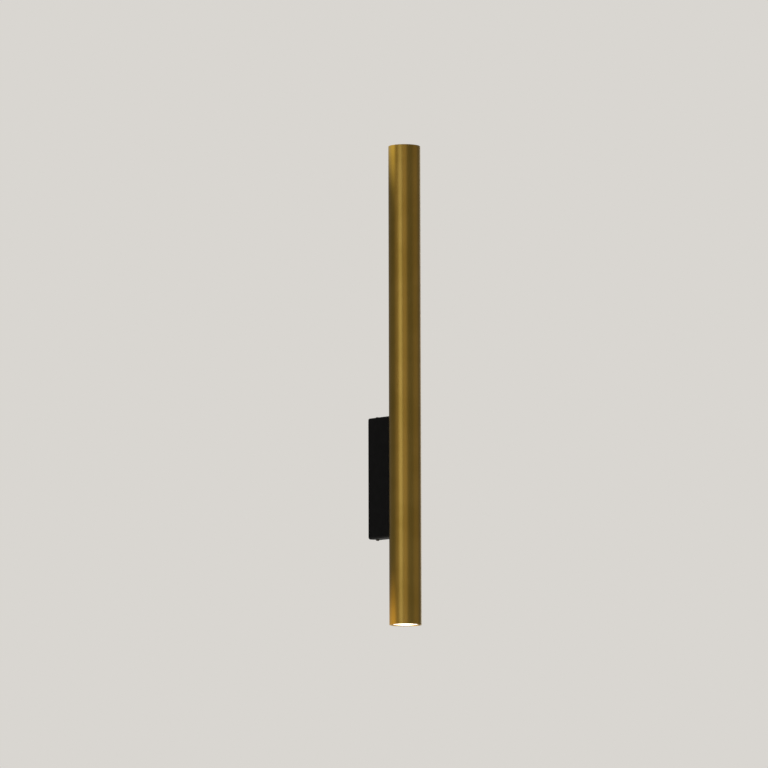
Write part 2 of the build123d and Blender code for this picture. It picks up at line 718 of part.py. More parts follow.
fixed_pieces = {
    "wall_bracket": wall_bracket,
    "cable_grommet": cable_grommet,
    "earth_stud": earth_stud,
    "earth_washers": earth_washers,
    "earth_nut": earth_nut,
    "mount_box": mount_box,
    "tube_body": tube_body,
    "tube_screws": tube_screws,
    "tube_screw_washers": tube_screw_washers,
    "carrier_nuts": carrier_nuts,
    "cable_bush": cable_bush,
    "lamp_carrier": lamp_carrier,
    "terminal_block": terminal_block,
    "terminal_clamps": terminal_clamps,
    "terminal_screws": terminal_screws,
    "terminal_block_screw": terminal_block_screw,
    "earth_ring_terminal": earth_ring_terminal,
    "earth_lead": earth_lead,
}
for name, make in fixed_pieces.items():
    write(name, make())

holder_pieces = {
    "lampholder_body": lampholder_body,
    "lampholder_cover": lampholder_cover,
    "lampholder_contacts": lampholder_contacts,
    "lampholder_screws": lampholder_screws,
}
lamp_pieces = {
    "lamp_heatsink": lamp_heatsink,
    "lamp_base": lamp_base,
    "lamp_lens": lamp_lens,
    "lamp_board": lamp_board,
    "lamp_pins": lamp_pins,
}
for word, end in (("upper", 1), ("lower", -1)):
    write(f"{word}_fixing_screw", fixing_screw(end))
    for name, make in holder_pieces.items():
        write(f"{word}_{name}", at_end(make(), end))
    for name, make in lamp_pieces.items():
        write(f"{word}_{name}", at_end(Rot(0, 0, rest_angle) * make(), end))
    for wire, side in (("live", -1), ("neutral", 1)):
        write(f"{word}_{wire}_lead", lamp_lead(f"{word}_{wire}_lead", side, end))
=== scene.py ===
"""Looks of an upright brass tube light with a lamp at each end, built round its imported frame.

Pieces are sized in millimetres, which become metres where they reach Blender. The studio is in metres.
+Z is up, the wall is the plane Y = 0 and the room is on its -Y side. The origin is on the wall behind the
middle of the mount box.
"""

import json
import logging
import math
from dataclasses import dataclass
from enum import Enum
from typing import Callable, Mapping, Optional, Sequence

import bmesh
import bpy
from mathutils import Matrix, Vector

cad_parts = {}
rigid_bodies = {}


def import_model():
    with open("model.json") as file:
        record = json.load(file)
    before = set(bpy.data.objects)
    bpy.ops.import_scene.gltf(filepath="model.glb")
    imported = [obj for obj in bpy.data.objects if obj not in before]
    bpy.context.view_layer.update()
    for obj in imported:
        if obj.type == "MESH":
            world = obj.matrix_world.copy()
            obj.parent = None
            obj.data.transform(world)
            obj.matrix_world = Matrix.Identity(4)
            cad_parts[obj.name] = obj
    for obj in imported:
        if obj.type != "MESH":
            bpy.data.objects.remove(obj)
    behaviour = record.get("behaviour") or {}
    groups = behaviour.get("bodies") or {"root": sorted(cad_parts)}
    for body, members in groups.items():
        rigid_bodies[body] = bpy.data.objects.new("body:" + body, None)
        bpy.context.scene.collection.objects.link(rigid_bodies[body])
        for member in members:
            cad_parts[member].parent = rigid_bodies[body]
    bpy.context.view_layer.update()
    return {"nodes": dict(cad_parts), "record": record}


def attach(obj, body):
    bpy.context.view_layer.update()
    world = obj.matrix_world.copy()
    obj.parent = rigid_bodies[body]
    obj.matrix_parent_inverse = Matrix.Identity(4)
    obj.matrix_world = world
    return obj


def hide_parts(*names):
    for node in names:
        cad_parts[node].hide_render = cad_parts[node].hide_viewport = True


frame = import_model()

log = logging.getLogger("tube_light")

Point = tuple[float, float, float]
Pair = tuple[float, float]
Colour = tuple[float, float, float, float]
Tree = bpy.types.NodeTree
Socket = bpy.types.NodeSocket

MM = 0.001
MERGE_WITHIN = 0.001  # in mm
ALONG = 0.9  # a direction whose part along an axis is over this runs along it
ACROSS = 0.1  # and one whose part is under this runs across it
HEXAGON = 6
TUBE_AXIS: Point = (0.0, -58.0, 0.0)
TUBE_AXIS_Y = TUBE_AXIS[1]

# How fine each noise is, and the values that it mostly keeps between.
PATCH_DETAIL, PATCH_NOISE = 3.0, (0.35, 0.65)
SMEAR_DETAIL, SMEAR_NOISE = 4.0, (0.3, 0.7)
MARK_DETAIL = 2.0
SMEARS_PER_PATCH = 4.0


class Body(str, Enum):
    """The frame's bodies, which the pieces ride on."""

    BRACKET = "bracket"
    FIXTURE = "fixture"
    TOP_SCREW = "top_screw"
    BOTTOM_SCREW = "bottom_screw"
    UPPER_LAMP = "upper_lamp"
    LOWER_LAMP = "lower_lamp"


class Slot(str, Enum):
    """The record's material slots."""

    SATIN_BRASS = "satin_brass"
    POWDER_COAT = "black_powder_coat"
    BLACKENED_STEEL = "blackened_steel"
    ZINC_PLATE = "zinc_plated_steel"
    RUBBER = "black_rubber"
    BARE_BRASS = "bare_brass"
    NICKEL_PLATE = "nickel_plate"
    NYLON = "white_nylon"
    STEATITE = "steatite"
    CAST_ALUMINIUM = "cast_aluminium"
    OPAL = "opal_polycarbonate"
    BROWN_SILICONE = "brown_silicone"
    BLUE_SILICONE = "blue_silicone"
    EARTH_SILICONE = "green_yellow_silicone"


class Axis(Enum):
    """An axis, along which a bar lies or about which a piece is turned."""

    X = "X"
    Y = "Y"
    Z = "Z"


class Part(Enum):
    """What an edit-mode step picks."""

    EDGES = "EDGE"
    FACES = "FACE"


class Meeting(Enum):
    """What stays of two workpieces that meet."""

    BOTH = "UNION"
    FIRST_ALONE = "DIFFERENCE"
    SHARED = "INTERSECT"


class End(Enum):
    """The two ends of the tube. The value is the direction in which that end looks out."""

    UPPER = 1
    LOWER = -1

    @property
    def word(self) -> str:
        """The first word of the names of this end's nodes."""
        return self.name.lower()

    @property
    def lamp(self) -> Body:
        """The body of the lamp at this end."""
        return Body.UPPER_LAMP if self is End.UPPER else Body.LOWER_LAMP

    @property
    def screw(self) -> Body:
        """The body of the fixing screw at this end of the box."""
        return Body.TOP_SCREW if self is End.UPPER else Body.BOTTOM_SCREW

    @property
    def outward(self) -> Matrix:
        """Turns a piece that is drawn looking up so that it looks out of this end."""
        return turn(0.0 if self is End.UPPER else 180.0, Axis.Y)


def turn(degrees: float, axis: Axis) -> Matrix:
    """Returns a turn about an axis through the origin."""
    return Matrix.Rotation(math.radians(degrees), 4, axis.value)


def shift(*way: float) -> Matrix:
    """Returns a move by a vector in mm."""
    return Matrix.Translation(Vector(way) * MM)


def linear(colour: str) -> Colour:
    """Turns an sRGB hex colour into linear values.

    Args:
        colour: six hex digits, such as "c8a45a".

    Returns:
        Linear red, green and blue, and an alpha of 1.
    """
    shares = [int(colour[i : i + 2], 16) / 255 for i in (0, 2, 4)]
    red, green, blue = (s / 12.92 if s <= 0.04045 else ((s + 0.055) / 1.055) ** 2.4 for s in shares)
    return red, green, blue, 1.0


def add_node(
    tree: Tree, kind: str, inputs: Optional[Mapping[int | str, object]] = None, **settings: object
) -> bpy.types.Node:
    """Adds one shader node.

    Args:
        tree: the node tree it goes into.
        kind: Blender's name of the node type, without its ShaderNode.
        inputs: values or output sockets, by the name or number of the input they go to.
        settings: the node's own properties.

    Returns:
        The new node.
    """
    node = tree.nodes.new(f"ShaderNode{kind}")
    for name, value in settings.items():
        setattr(node, name, value)
    for key, value in (inputs or {}).items():
        if isinstance(value, Socket):
            tree.links.new(value, node.inputs[key])
        else:
            node.inputs[key].default_value = value
    return node


def blank_tree(owner: bpy.types.Material | bpy.types.World) -> Tree:
    """Turns on the nodes of a material or world and clears them.

    Args:
        owner: the material or world.

    Returns:
        Its empty node tree.
    """
    owner.use_nodes = True
    owner.node_tree.nodes.clear()
    return owner.node_tree


def fade(tree: Tree, place: Socket, distances: Pair, values: Pair) -> Socket:
    """Goes softly from one value to another with the distance from a point.

    Args:
        tree: the node tree it goes into.
        place: the way from the point.
        distances: where the change starts and ends.
        values: the value up to its start and the value past its end.

    Returns:
        The value.
    """
    away = add_node(tree, "VectorMath", {0: place}, operation="LENGTH").outputs["Value"]
    span = {"Value": away, "From Min": distances[0], "From Max": distances[1]}
    span |= {"To Min": values[0], "To Max": values[1]}
    return add_node(tree, "MapRange", span, interpolation_type="SMOOTHSTEP").outputs[0]


# ---- finishes ----


@dataclass(frozen=True)
class Coat:
    """A material in the making: its nodes, its principled shader and its object coordinates in metres."""

    tree: Tree
    shader: bpy.types.Node
    place: Socket


@dataclass(frozen=True)
class Finish:
    """A finish that is uneven in colour, in gloss and in its finest marks. Lengths are in mm."""

    name: str  # the real material and how its surface was made
    colour: str  # sRGB hex
    patch_colour: str  # what the colour drifts to in soft patches
    roughness: float
    metallic: float = 0.0
    patch_size: float = 6.0
    gloss_spread: float = 0.06  # how far the roughness drifts to each side
    grain_size: float = 0.2  # width of the finest marks
    grain_height: float = 0.004
    grain_length: Point = (1.0, 1.0, 1.0)  # how many times longer than wide they are along X, Y and Z
    shine: float = 0.5  # how strongly a surface that isn't metal mirrors, where 0.5 is usual

    def material(self) -> bpy.types.Material:
        """Gives the finish's material, made the first time and shared after that.

        Returns:
            The material.
        """
        known = bpy.data.materials.get(self.name)
        if known:
            return known
        material = bpy.data.materials.new(self.name)
        tree = blank_tree(material)
        sockets = {"Metallic": self.metallic, "Specular IOR Level": self.shine}
        shader = add_node(tree, "BsdfPrincipled", sockets)
        add_node(tree, "OutputMaterial", {"Surface": shader.outputs["BSDF"]}, is_active_output=True)
        coat = Coat(tree, shader, add_node(tree, "TexCoord").outputs["Object"])
        self.paint(coat)
        self.wear(coat)
        return material

    def paint(self, coat: Coat) -> None:
        """Links the finish's colour to the shader."""
        coat.tree.links.new(self.patches(coat), coat.shader.inputs["Base Color"])

    def patches(self, coat: Coat) -> Socket:
        """Mixes the finish's two colours in soft patches.

        Args:
            coat: the material in the making.

        Returns:
            The mixed colour.
        """
        spots = {"Vector": coat.place, "Scale": 1 / (self.patch_size * MM), "Detail": PATCH_DETAIL}
        noise = add_node(coat.tree, "TexNoise", spots).outputs["Fac"]
        span = {"Value": noise, "From Min": PATCH_NOISE[0], "From Max": PATCH_NOISE[1]}
        share = add_node(coat.tree, "MapRange", span, interpolation_type="SMOOTHSTEP").outputs[0]
        colours = {0: share, 6: linear(self.colour), 7: linear(self.patch_colour)}
        return add_node(coat.tree, "Mix", colours, data_type="RGBA").outputs[2]

    def wear(self, coat: Coat) -> None:
        """Links roughness and the finest marks to the shader.

        Args:
            coat: the material in the making.
        """
        tree, shader = coat.tree, coat.shader
        lengthwise = {"Vector": coat.place, "Scale": tuple(1 / length for length in self.grain_length)}
        drawn_out = add_node(tree, "Mapping", lengthwise).outputs[0]
        kinds = ((self.grain_size, MARK_DETAIL), (self.patch_size / SMEARS_PER_PATCH, SMEAR_DETAIL))
        marks, smears = (
            add_node(tree, "TexNoise", {"Vector": drawn_out, "Scale": 1 / (size * MM), "Detail": detail})
            for size, detail in kinds
        )
        span = {"Value": smears.outputs["Fac"], "From Min": SMEAR_NOISE[0], "From Max": SMEAR_NOISE[1]}
        span |= {"To Min": self.roughness - self.gloss_spread, "To Max": self.roughness + self.gloss_spread}
        relief = {"Height": marks.outputs["Fac"], "Distance": self.grain_height * MM, "Strength": 1.0}
        tree.links.new(add_node(tree, "MapRange", span).outputs[0], shader.inputs["Roughness"])
        tree.links.new(add_node(tree, "Bump", relief).outputs[0], shader.inputs["Normal"])


@dataclass(frozen=True)
class PlaceMask:
    """A box in the object's own space, in mm, that marks off a part of a piece."""

    low: Point
    high: Point

    def share(self, coat: Coat) -> Socket:
        """Tells the inside of the box from the outside.

        Args:
            coat: the material in the making.

        Returns:
            1 inside the box and 0 outside it.
        """
        inside: float | Socket = 1.0
        parts = add_node(coat.tree, "SeparateXYZ", {0: coat.place}).outputs
        for part, low, high in zip(parts, self.low, self.high):
            span = {0: part, 1: (low + high) / 2 * MM, 2: (high - low) / 2 * MM}
            near = add_node(coat.tree, "Math", span, operation="COMPARE").outputs[0]
            inside = add_node(coat.tree, "Math", {0: inside, 1: near}, operation="MULTIPLY").outputs[0]
        return inside


@dataclass(frozen=True)
class TwoTone(Finish):
    """A finish with a second colour in some boxes, such as a lead's stripped ends or chips on a board."""

    marked_colour: str = "c9b8a4"
    marked_metallic: float = 1.0
    marks: tuple[PlaceMask, ...] = ()

    def paint(self, coat: Coat) -> None:
        """Links the two colours to the shader, and metal where the mark is metal.

        Args:
            coat: the material in the making.
        """
        share: float | Socket = 0.0
        for mark in self.marks:
            both = {0: share, 1: mark.share(coat)}
            share = add_node(coat.tree, "Math", both, operation="MAXIMUM").outputs[0]
        colours = {0: share, 6: self.patches(coat), 7: linear(self.marked_colour)}
        mixed = add_node(coat.tree, "Mix", colours, data_type="RGBA").outputs[2]
        coat.tree.links.new(mixed, coat.shader.inputs["Base Color"])
        if self.marked_metallic:
            coat.tree.links.new(share, coat.shader.inputs["Metallic"])


@dataclass(frozen=True)
class Striped(TwoTone):
    """An earth lead's silicone, green with a yellow stripe along the lead."""

    stripe_colour: str = "e0c22a"
    stripe_from: float = 0.15  # the X, in mm, from which the lead is yellow

    def patches(self, coat: Coat) -> Socket:
        """Mixes the green with the yellow stripe.

        Args:
            coat: the material in the making.

        Returns:
            The mixed colour.
        """
        sideways = add_node(coat.tree, "SeparateXYZ", {0: coat.place}).outputs["X"]
        halves = {0: sideways, 1: self.stripe_from * MM}
        share = add_node(coat.tree, "Math", halves, operation="GREATER_THAN").outputs[0]
        colours = {0: share, 6: super().patches(coat), 7: linear(self.stripe_colour)}
        return add_node(coat.tree, "Mix", colours, data_type="RGBA").outputs[2]


@dataclass(frozen=True)
class Opal(Finish):
    """Opal polycarbonate, lit from behind: brightest over the three chips, softer towards the rim."""

    lamp_axis: Pair = (TUBE_AXIS[0], TUBE_AXIS_Y)  # its X and Y, in mm
    glow: float = 5.0  # strength of the light at the rim
    core_glow: float = 4.0  # what the middle adds to it
    core_radius: float = 15.0  # how far the brighter middle reaches, in mm
    core_start: float = 0.1  # where it starts to fade, as a share of that
    light: str = "fff0d6"

    def paint(self, coat: Coat) -> None:
        """Links the milky colour and the light that comes through it.

        Args:
            coat: the material in the making.
        """
        super().paint(coat)
        shader = coat.shader
        left, back = (-place / self.core_radius for place in self.lamp_axis)
        per_metre = 1 / (self.core_radius * MM)
        centring = {"Vector": coat.place, "Location": (left, back, 0.0), "Scale": (per_metre, per_metre, 0.0)}
        centred = add_node(coat.tree, "Mapping", centring).outputs[0]
        strength = fade(coat.tree, centred, (self.core_start, 1.0), (self.glow + self.core_glow, self.glow))
        shader.inputs["Emission Color"].default_value = linear(self.light)
        coat.tree.links.new(strength, shader.inputs["Emission Strength"])


# Where the leads are stripped to tinned copper.
BLOCK_ENTRY = PlaceMask((-9.0, -36.0, 2.0), (9.0, -26.0, 12.0))
UPPER_HOLDER_ENTRY = PlaceMask((-9.0, -66.0, 352.7), (9.0, -50.0, 420.0))
LOWER_HOLDER_ENTRY = PlaceMask((-9.0, -66.0, -190.0), (9.0, -50.0, -124.7))
EARTH_BARREL = PlaceMask((-3.0, -40.0, 50.0), (3.0, -30.0, 60.0))
LEAD_ENDS = (BLOCK_ENTRY, UPPER_HOLDER_ENTRY, LOWER_HOLDER_ENTRY)

# The finest marks are drawn 0.1 mm wide or more, so that they show: on the real rubbed, machined, plated and
# blasted metals they are finer.
FINISHES: dict[Slot, Finish] = {
    # Drawn tube, rubbed lengthwise with fine abrasive and lacquered. The eye sees soft upright bands of
    # light, warm gold where it is lit and olive brown where it is not.
    Slot.SATIN_BRASS: Finish(
        "satin_brass_rubbed_lengthwise", "a88c46", "9f843f", roughness=0.31, metallic=1.0, patch_size=45.0,
        gloss_spread=0.03, grain_size=0.35, grain_length=(1.0, 1.0, 80.0),
    ),
    # Powder coat on steel: near black, low sheen, with the faint orange peel of baked powder.
    Slot.POWDER_COAT: Finish(
        "powder_coat_black_matt", "070708", "0a0a0b", roughness=0.55, patch_size=12.0, gloss_spread=0.05,
        grain_size=0.7, grain_height=0.02, shine=0.1,
    ),
    # Steel blacked in hot oil: a dark metal with brownish patches and worn gloss.
    Slot.BLACKENED_STEEL: Finish(
        "steel_blackened_in_oil", "3a3836", "4a443e", roughness=0.34, metallic=1.0, patch_size=1.6,
        gloss_spread=0.08, grain_size=0.12,
    ),
    # Zinc plate: bluish bright metal with faint yellow drifts from its passivation.
    Slot.ZINC_PLATE: Finish(
        "steel_zinc_plated_passivated", "c3c8cd", "c9c9c2", roughness=0.30, metallic=1.0, patch_size=7.0,
        gloss_spread=0.08, grain_height=0.003,
    ),
    # Moulded rubber: soft black, almost no shine, with fine mould texture.
    Slot.RUBBER: Finish(
        "rubber_moulded_black", "1b1b1c", "232322", roughness=0.72, patch_size=3.0, grain_height=0.01
    ),
    # Bare brass, machined: brighter and yellower than the tube, with fine tool marks.
    Slot.BARE_BRASS: Finish(
        "brass_machined_bare", "d0aa5c", "c39a4c", roughness=0.24, metallic=1.0, patch_size=3.0,
        grain_size=0.15, grain_height=0.003,
    ),
    # Nickel plate: a warm grey mirror, slightly hazy.
    Slot.NICKEL_PLATE: Finish(
        "brass_nickel_plated", "cbc5b9", "bfb8aa", roughness=0.20, metallic=1.0, patch_size=4.0,
        grain_height=0.002,
    ),
    # Moulded nylon: milky white, soft sheen, slightly pebbled by the mould.
    Slot.NYLON: Finish(
        "nylon_moulded_white", "e6e3da", "dedacf", roughness=0.45, patch_size=8.0, grain_size=0.25,
        grain_height=0.006,
    ),
    # Steatite: pressed and fired ceramic, cream white, dry to the eye, fine grained.
    Slot.STEATITE: Finish(
        "steatite_pressed_fired", "e9e2d0", "ded5bf", roughness=0.62, patch_size=3.5, grain_size=0.25,
        grain_height=0.012,
    ),
    # Die-cast aluminium, blasted: light grey metal with a fine even grain.
    Slot.CAST_ALUMINIUM: Finish(
        "aluminium_die_cast_blasted", "b4b7ba", "a9acb0", roughness=0.42, metallic=1.0, patch_size=9.0,
        grain_size=0.3, grain_height=0.01,
    ),
    # Opal polycarbonate: milky, satin surface, lit from behind.
    Slot.OPAL: Opal(
        "polycarbonate_opal_lit", "f4f1e8", "efece2", roughness=0.38, patch_size=10.0, gloss_spread=0.04,
        grain_size=0.25, grain_height=0.005,
    ),
    # Silicone insulation: matt, rubbery, evenly coloured. The stripped ends show tinned copper.
    Slot.BROWN_SILICONE: TwoTone(
        "silicone_lead_brown", "5b3a26", "52331f", roughness=0.55, gloss_spread=0.05, marks=LEAD_ENDS
    ),
    Slot.BLUE_SILICONE: TwoTone(
        "silicone_lead_blue", "2f5f9c", "2a568f", roughness=0.55, gloss_spread=0.05, marks=LEAD_ENDS
    ),
    Slot.EARTH_SILICONE: Striped(
        "silicone_lead_green_yellow", "2f8a3c", "2a7f37", roughness=0.55, gloss_spread=0.05,
        marks=(BLOCK_ENTRY, EARTH_BARREL),
    ),
}


# ---- the bench ----


class Workpiece:
    """One mesh on the bench, shaped in edit mode with Blender's own operators."""

    def __init__(self, obj: bpy.types.Object, name: str) -> None:
        """Takes up an object and names it."""
        self.obj = obj
        obj.name = obj.data.name = name

    @staticmethod
    def clear_selection() -> None:
        """Leaves edit mode and deselects everything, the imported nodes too."""
        if bpy.context.object and bpy.context.object.mode != "OBJECT":
            bpy.ops.object.mode_set(mode="OBJECT")
        bpy.ops.object.select_all(action="DESELECT")

    def take_up(self) -> "Workpiece":
        """Selects this piece alone and makes it the active one.

        Returns:
            The workpiece.
        """
        self.clear_selection()
        self.obj.select_set(True)
        bpy.context.view_layer.objects.active = self.obj
        return self

    def edit_all(self) -> "Workpiece":
        """Goes to edit mode with the whole mesh selected.

        Returns:
            The workpiece.
        """
        bpy.context.view_layer.objects.active = self.obj
        if self.obj.mode != "EDIT":
            bpy.ops.object.mode_set(mode="EDIT")
        bpy.ops.mesh.select_all(action="SELECT")
        return self

    @classmethod
    def bar(
        cls, name: str, radius: float, start: float, end: float, at: Point = (0.0, 0.0, 0.0),
        axis: Axis = Axis.Z, sides: int = 64,
    ) -> "Workpiece":
        """A round or many-sided bar.

        Args:
            name: the piece's name.
            radius: its radius to the corners, in mm.
            start: where it starts along its axis, in mm.
            end: where it ends along its axis, in mm.
            at: a point on its axis; the coordinate along the axis is not used.
            axis: its direction, Y or Z.
            sides: how many flats it is made of.

        Returns:
            The new workpiece.
        """
        cls.clear_selection()
        middle = (start + end) / 2
        level = axis is Axis.Y
        place = (at[0], middle, at[2]) if level else (at[0], at[1], middle)
        bpy.ops.mesh.primitive_cylinder_add(
            vertices=sides,
            radius=radius * MM,
            depth=abs(end - start) * MM,
            location=Vector(place) * MM,
            rotation=(math.radians(90 if level else 0), 0.0, 0.0),
        )
        return cls(bpy.context.object, name).settle()

    @classmethod
    def block(cls, name: str, low: Point, high: Point) -> "Workpiece":
        """A block.

        Args:
            name: the piece's name.
            low: its lowest corner, in mm.
            high: its highest corner, in mm.

        Returns:
            The new workpiece.
        """
        cls.clear_selection()
        low_corner, high_corner = Vector(low) * MM, Vector(high) * MM
        bpy.ops.mesh.primitive_cube_add(size=1.0, location=(low_corner + high_corner) / 2)
        bpy.context.object.scale = high_corner - low_corner
        return cls(bpy.context.object, name).settle()

    @classmethod
    def turned(cls, name: str, profile: Sequence[Pair], sides: int = 96) -> "Workpiece":
        """A closed piece turned about the Z axis: a ring that is extruded and resized step by step.

        Args:
            name: the piece's name.
            profile: radius and height of each ring, in mm. The first and the last are closed.
            sides: how many flats a ring has.

        Returns:
            The new workpiece.
        """
        cls.clear_selection()
        radius, height = profile[0]
        bpy.ops.mesh.primitive_circle_add(
            vertices=sides, radius=radius * MM, fill_type="NOTHING", location=(0.0, 0.0, height * MM)
        )
        piece = cls(bpy.context.object, name).settle().edit_all()
        bpy.ops.mesh.select_mode(type="EDGE")
        for next_radius, next_height in profile[1:]:
            rise = (0.0, 0.0, (next_height - height) * MM)
            bpy.ops.mesh.extrude_edges_move(TRANSFORM_OT_translate={"value": rise})
            scale = next_radius / radius
            bpy.ops.transform.resize(value=(scale, scale, 1.0), center_override=(0.0, 0.0, next_height * MM))
            radius, height = next_radius, next_height
        bpy.ops.mesh.select_all(action="SELECT")
        bpy.ops.mesh.fill_holes(sides=0)
        return piece.clean()

    def settle(self) -> "Workpiece":
        """Puts the object at the origin, unturned and unscaled, with its place in its mesh.

        Returns:
            The workpiece.
        """
        self.take_up()
        bpy.ops.object.transform_apply(location=True, rotation=True, scale=True)
        return self

    def pick(self, part: Part, test: Callable[[Vector, Sequence[Vector]], bool]) -> None:
        """Goes to edit mode and selects the faces or edges that pass a test.

        Args:
            part: faces or edges.
            test: takes the direction of a face or edge and its corners, in mm.
        """
        self.take_up()
        bpy.ops.object.mode_set(mode="EDIT")
        bpy.ops.mesh.select_mode(type=part.value)
        bpy.ops.mesh.select_all(action="DESELECT")
        mesh = bmesh.from_edit_mesh(self.obj.data)
        for item in mesh.faces if part is Part.FACES else mesh.edges:
            corners = [v.co / MM for v in item.verts]
            direction = item.normal if part is Part.FACES else (corners[1] - corners[0]).normalized()
            if test(direction, corners):
                item.select_set(True)
        bmesh.update_edit_mesh(self.obj.data)

    def clean(self) -> "Workpiece":
        """Merges doubles, points all faces outwards and leaves edit mode.

        Returns:
            The workpiece.
        """
        self.edit_all()
        bpy.ops.mesh.remove_doubles(threshold=MERGE_WITHIN * MM)
        bpy.ops.mesh.normals_make_consistent(inside=False)
        bpy.ops.object.mode_set(mode="OBJECT")
        return self

    def apply(self, kind: str, **settings: object) -> "Workpiece":
        """Adds a modifier with its settings and applies it.

        Args:
            kind: Blender's name of the modifier.
            settings: the modifier's own properties.

        Returns:
            The workpiece.
        """
        self.take_up()
        modifier = self.obj.modifiers.new(kind.title(), kind)
        for name, value in settings.items():
            setattr(modifier, name, value)
        bpy.ops.object.modifier_apply(modifier=modifier.name)
        return self

    def combine(self, other: "Workpiece", kept: Meeting) -> "Workpiece":
        """Joins this workpiece with another, cuts the other away or keeps what they share.

        Args:
            other: the other workpiece, which is used up.
            kept: what stays of the two.

        Returns:
            The workpiece.
        """
        self.apply("BOOLEAN", object=other.obj, operation=kept.value, solver="EXACT")
        other.discard()
        return self

    def cut(self, *cutters: "Workpiece") -> "Workpiece":
        """Cuts other workpieces away from this one.

        Args:
            cutters: the other workpieces, which are used up.

        Returns:
            The workpiece.
        """
        for cutter in cutters:
            self.combine(cutter, Meeting.FIRST_ALONE)
        return self

    def discard(self) -> None:
        """Takes the workpiece off the bench."""
        bpy.data.objects.remove(self.obj, do_unlink=True)

    def ease(self, width: float, segments: int = 2, sharper_than: float = 40.0) -> "Workpiece":
        """Rounds the edges that are sharper than an angle.

        Args:
            width: how far the rounding reaches from the edge, in mm.
            segments: how many flats the rounding has.
            sharper_than: the least angle between two faces, in degrees, whose edge is rounded.

        Returns:
            The workpiece.
        """
        return self.apply(
            "BEVEL",
            width=width * MM,
            segments=segments,
            limit_method="ANGLE",
            angle_limit=math.radians(sharper_than),
            use_clamp_overlap=True,
        )

    def move_copy(self, name: str, change: Matrix) -> "Workpiece":
        """Makes a copy with its own mesh and moves it.

        Args:
            name: the copy's name.
            change: the change of place, in metres.

        Returns:
            The copy.
        """
        self.take_up()
        bpy.ops.object.duplicate(linked=False)
        copy = Workpiece(bpy.context.object, name)
        copy.obj.matrix_world = change
        return copy.settle()

    def join(self, *others: "Workpiece") -> "Workpiece":
        """Joins other workpieces to this one as loose parts of one mesh.

        Args:
            others: the other workpieces, which are used up.

        Returns:
            The workpiece.
        """
        self.take_up()
        for other in others:
            other.obj.select_set(True)
        bpy.ops.object.join()
        return self

    def finish(self, slot: Slot, body: Body, replaced: str, smooth_below: float = 30.0) -> None:
        """Smooths and dresses the piece and hands it to the frame.

        Args:
            slot: the record's material slot it belongs to, which gives its finish.
            body: the body it rides on.
            replaced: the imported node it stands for.
            smooth_below: the angle under which two faces are shaded as one, in degrees.
        """
        self.take_up()
        bpy.ops.object.shade_smooth_by_angle(angle=math.radians(smooth_below))
        self.apply("WEIGHTED_NORMAL", keep_sharp=True)
        self.obj.data.materials.clear()
        self.obj.data.materials.append(FINISHES[slot].material())
        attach(self.obj, body.value)
        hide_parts(replaced)
        log.info("%s rides on %s, %d faces", self.obj.name, body.value, len(self.obj.data.polygons))


# ---- the pieces ----


@dataclass(frozen=True)
class Hole:
    """A round hole, along Y, in the tube's back or the box's front. Lengths are in mm."""

    radius: float
    height: float  # of its middle
    sides: int

    def drill(self, end: float) -> Workpiece:
        """Makes its drill, from the tube's axis to a Y towards the wall."""
        at = (0.0, 0.0, self.height)
        return Workpiece.bar("drill", self.radius, TUBE_AXIS_Y, end, at, Axis.Y, self.sides)


BUSH_HOLE = Hole(radius=4.45, height=38.0, sides=48)
BLOCK_SCREW_HOLE = Hole(radius=1.55, height=-9.0, sides=32)
TUBE_SCREW_HOLES = tuple(Hole(radius=2.25, height=height, sides=40) for height in (-60.0, 60.0))


@dataclass
class Tube:
    """The brass tube. Lengths are in mm."""

    radius: float = 20.0
    wall: float = 1.5
    bottom: float = -186.0
    top: float = 414.0
    rim_rounding: float = 0.35
    rim_segments: int = 3
    same_radius: float = 0.01  # two points of one rim differ by less
    sides: int = 192
    smooth_below: float = 35.0  # in degrees
    holes: tuple[Hole, ...] = (BUSH_HOLE, *TUBE_SCREW_HOLES)

    def build(self) -> None:
        """Makes the tube: a bar whose ends are inset, opened, bridged and rounded, and its back drilled."""
        tube = Workpiece.bar("brass_tube", self.radius, self.bottom, self.top, TUBE_AXIS, sides=self.sides)
        tube.pick(Part.FACES, lambda way, corners: abs(way.z) > ALONG)
        bpy.ops.mesh.inset(thickness=self.wall * MM, use_individual=True)
        bpy.ops.mesh.delete(type="FACE")
        tube.pick(Part.EDGES, self.is_inner_rim)
        bpy.ops.mesh.bridge_edge_loops()
        tube.pick(Part.EDGES, self.is_rim)
        bpy.ops.mesh.bevel(offset=self.rim_rounding * MM, segments=self.rim_segments, affect="EDGES")
        tube.clean().cut(*(hole.drill(0.0) for hole in self.holes))
        tube.finish(Slot.SATIN_BRASS, Body.FIXTURE, "tube_body", self.smooth_below)

    @staticmethod
    def from_axis(point: Vector) -> float:
        """Distance of a point from the tube's axis, in mm."""
        return math.hypot(point.x, point.y - TUBE_AXIS_Y)

    def is_inner_rim(self, way: Vector, corners: Sequence[Vector]) -> bool:
        """Whether an edge runs round the mouth of the bore."""
        within = self.radius - self.wall / 2
        return abs(way.z) < ACROSS and all(self.from_axis(corner) < within for corner in corners)

    def is_rim(self, way: Vector, corners: Sequence[Vector]) -> bool:
        """Whether an edge runs round one of the four rims."""
        first, second = (self.from_axis(corner) for corner in corners)
        return abs(way.z) < ACROSS and abs(first - second) < self.same_radius


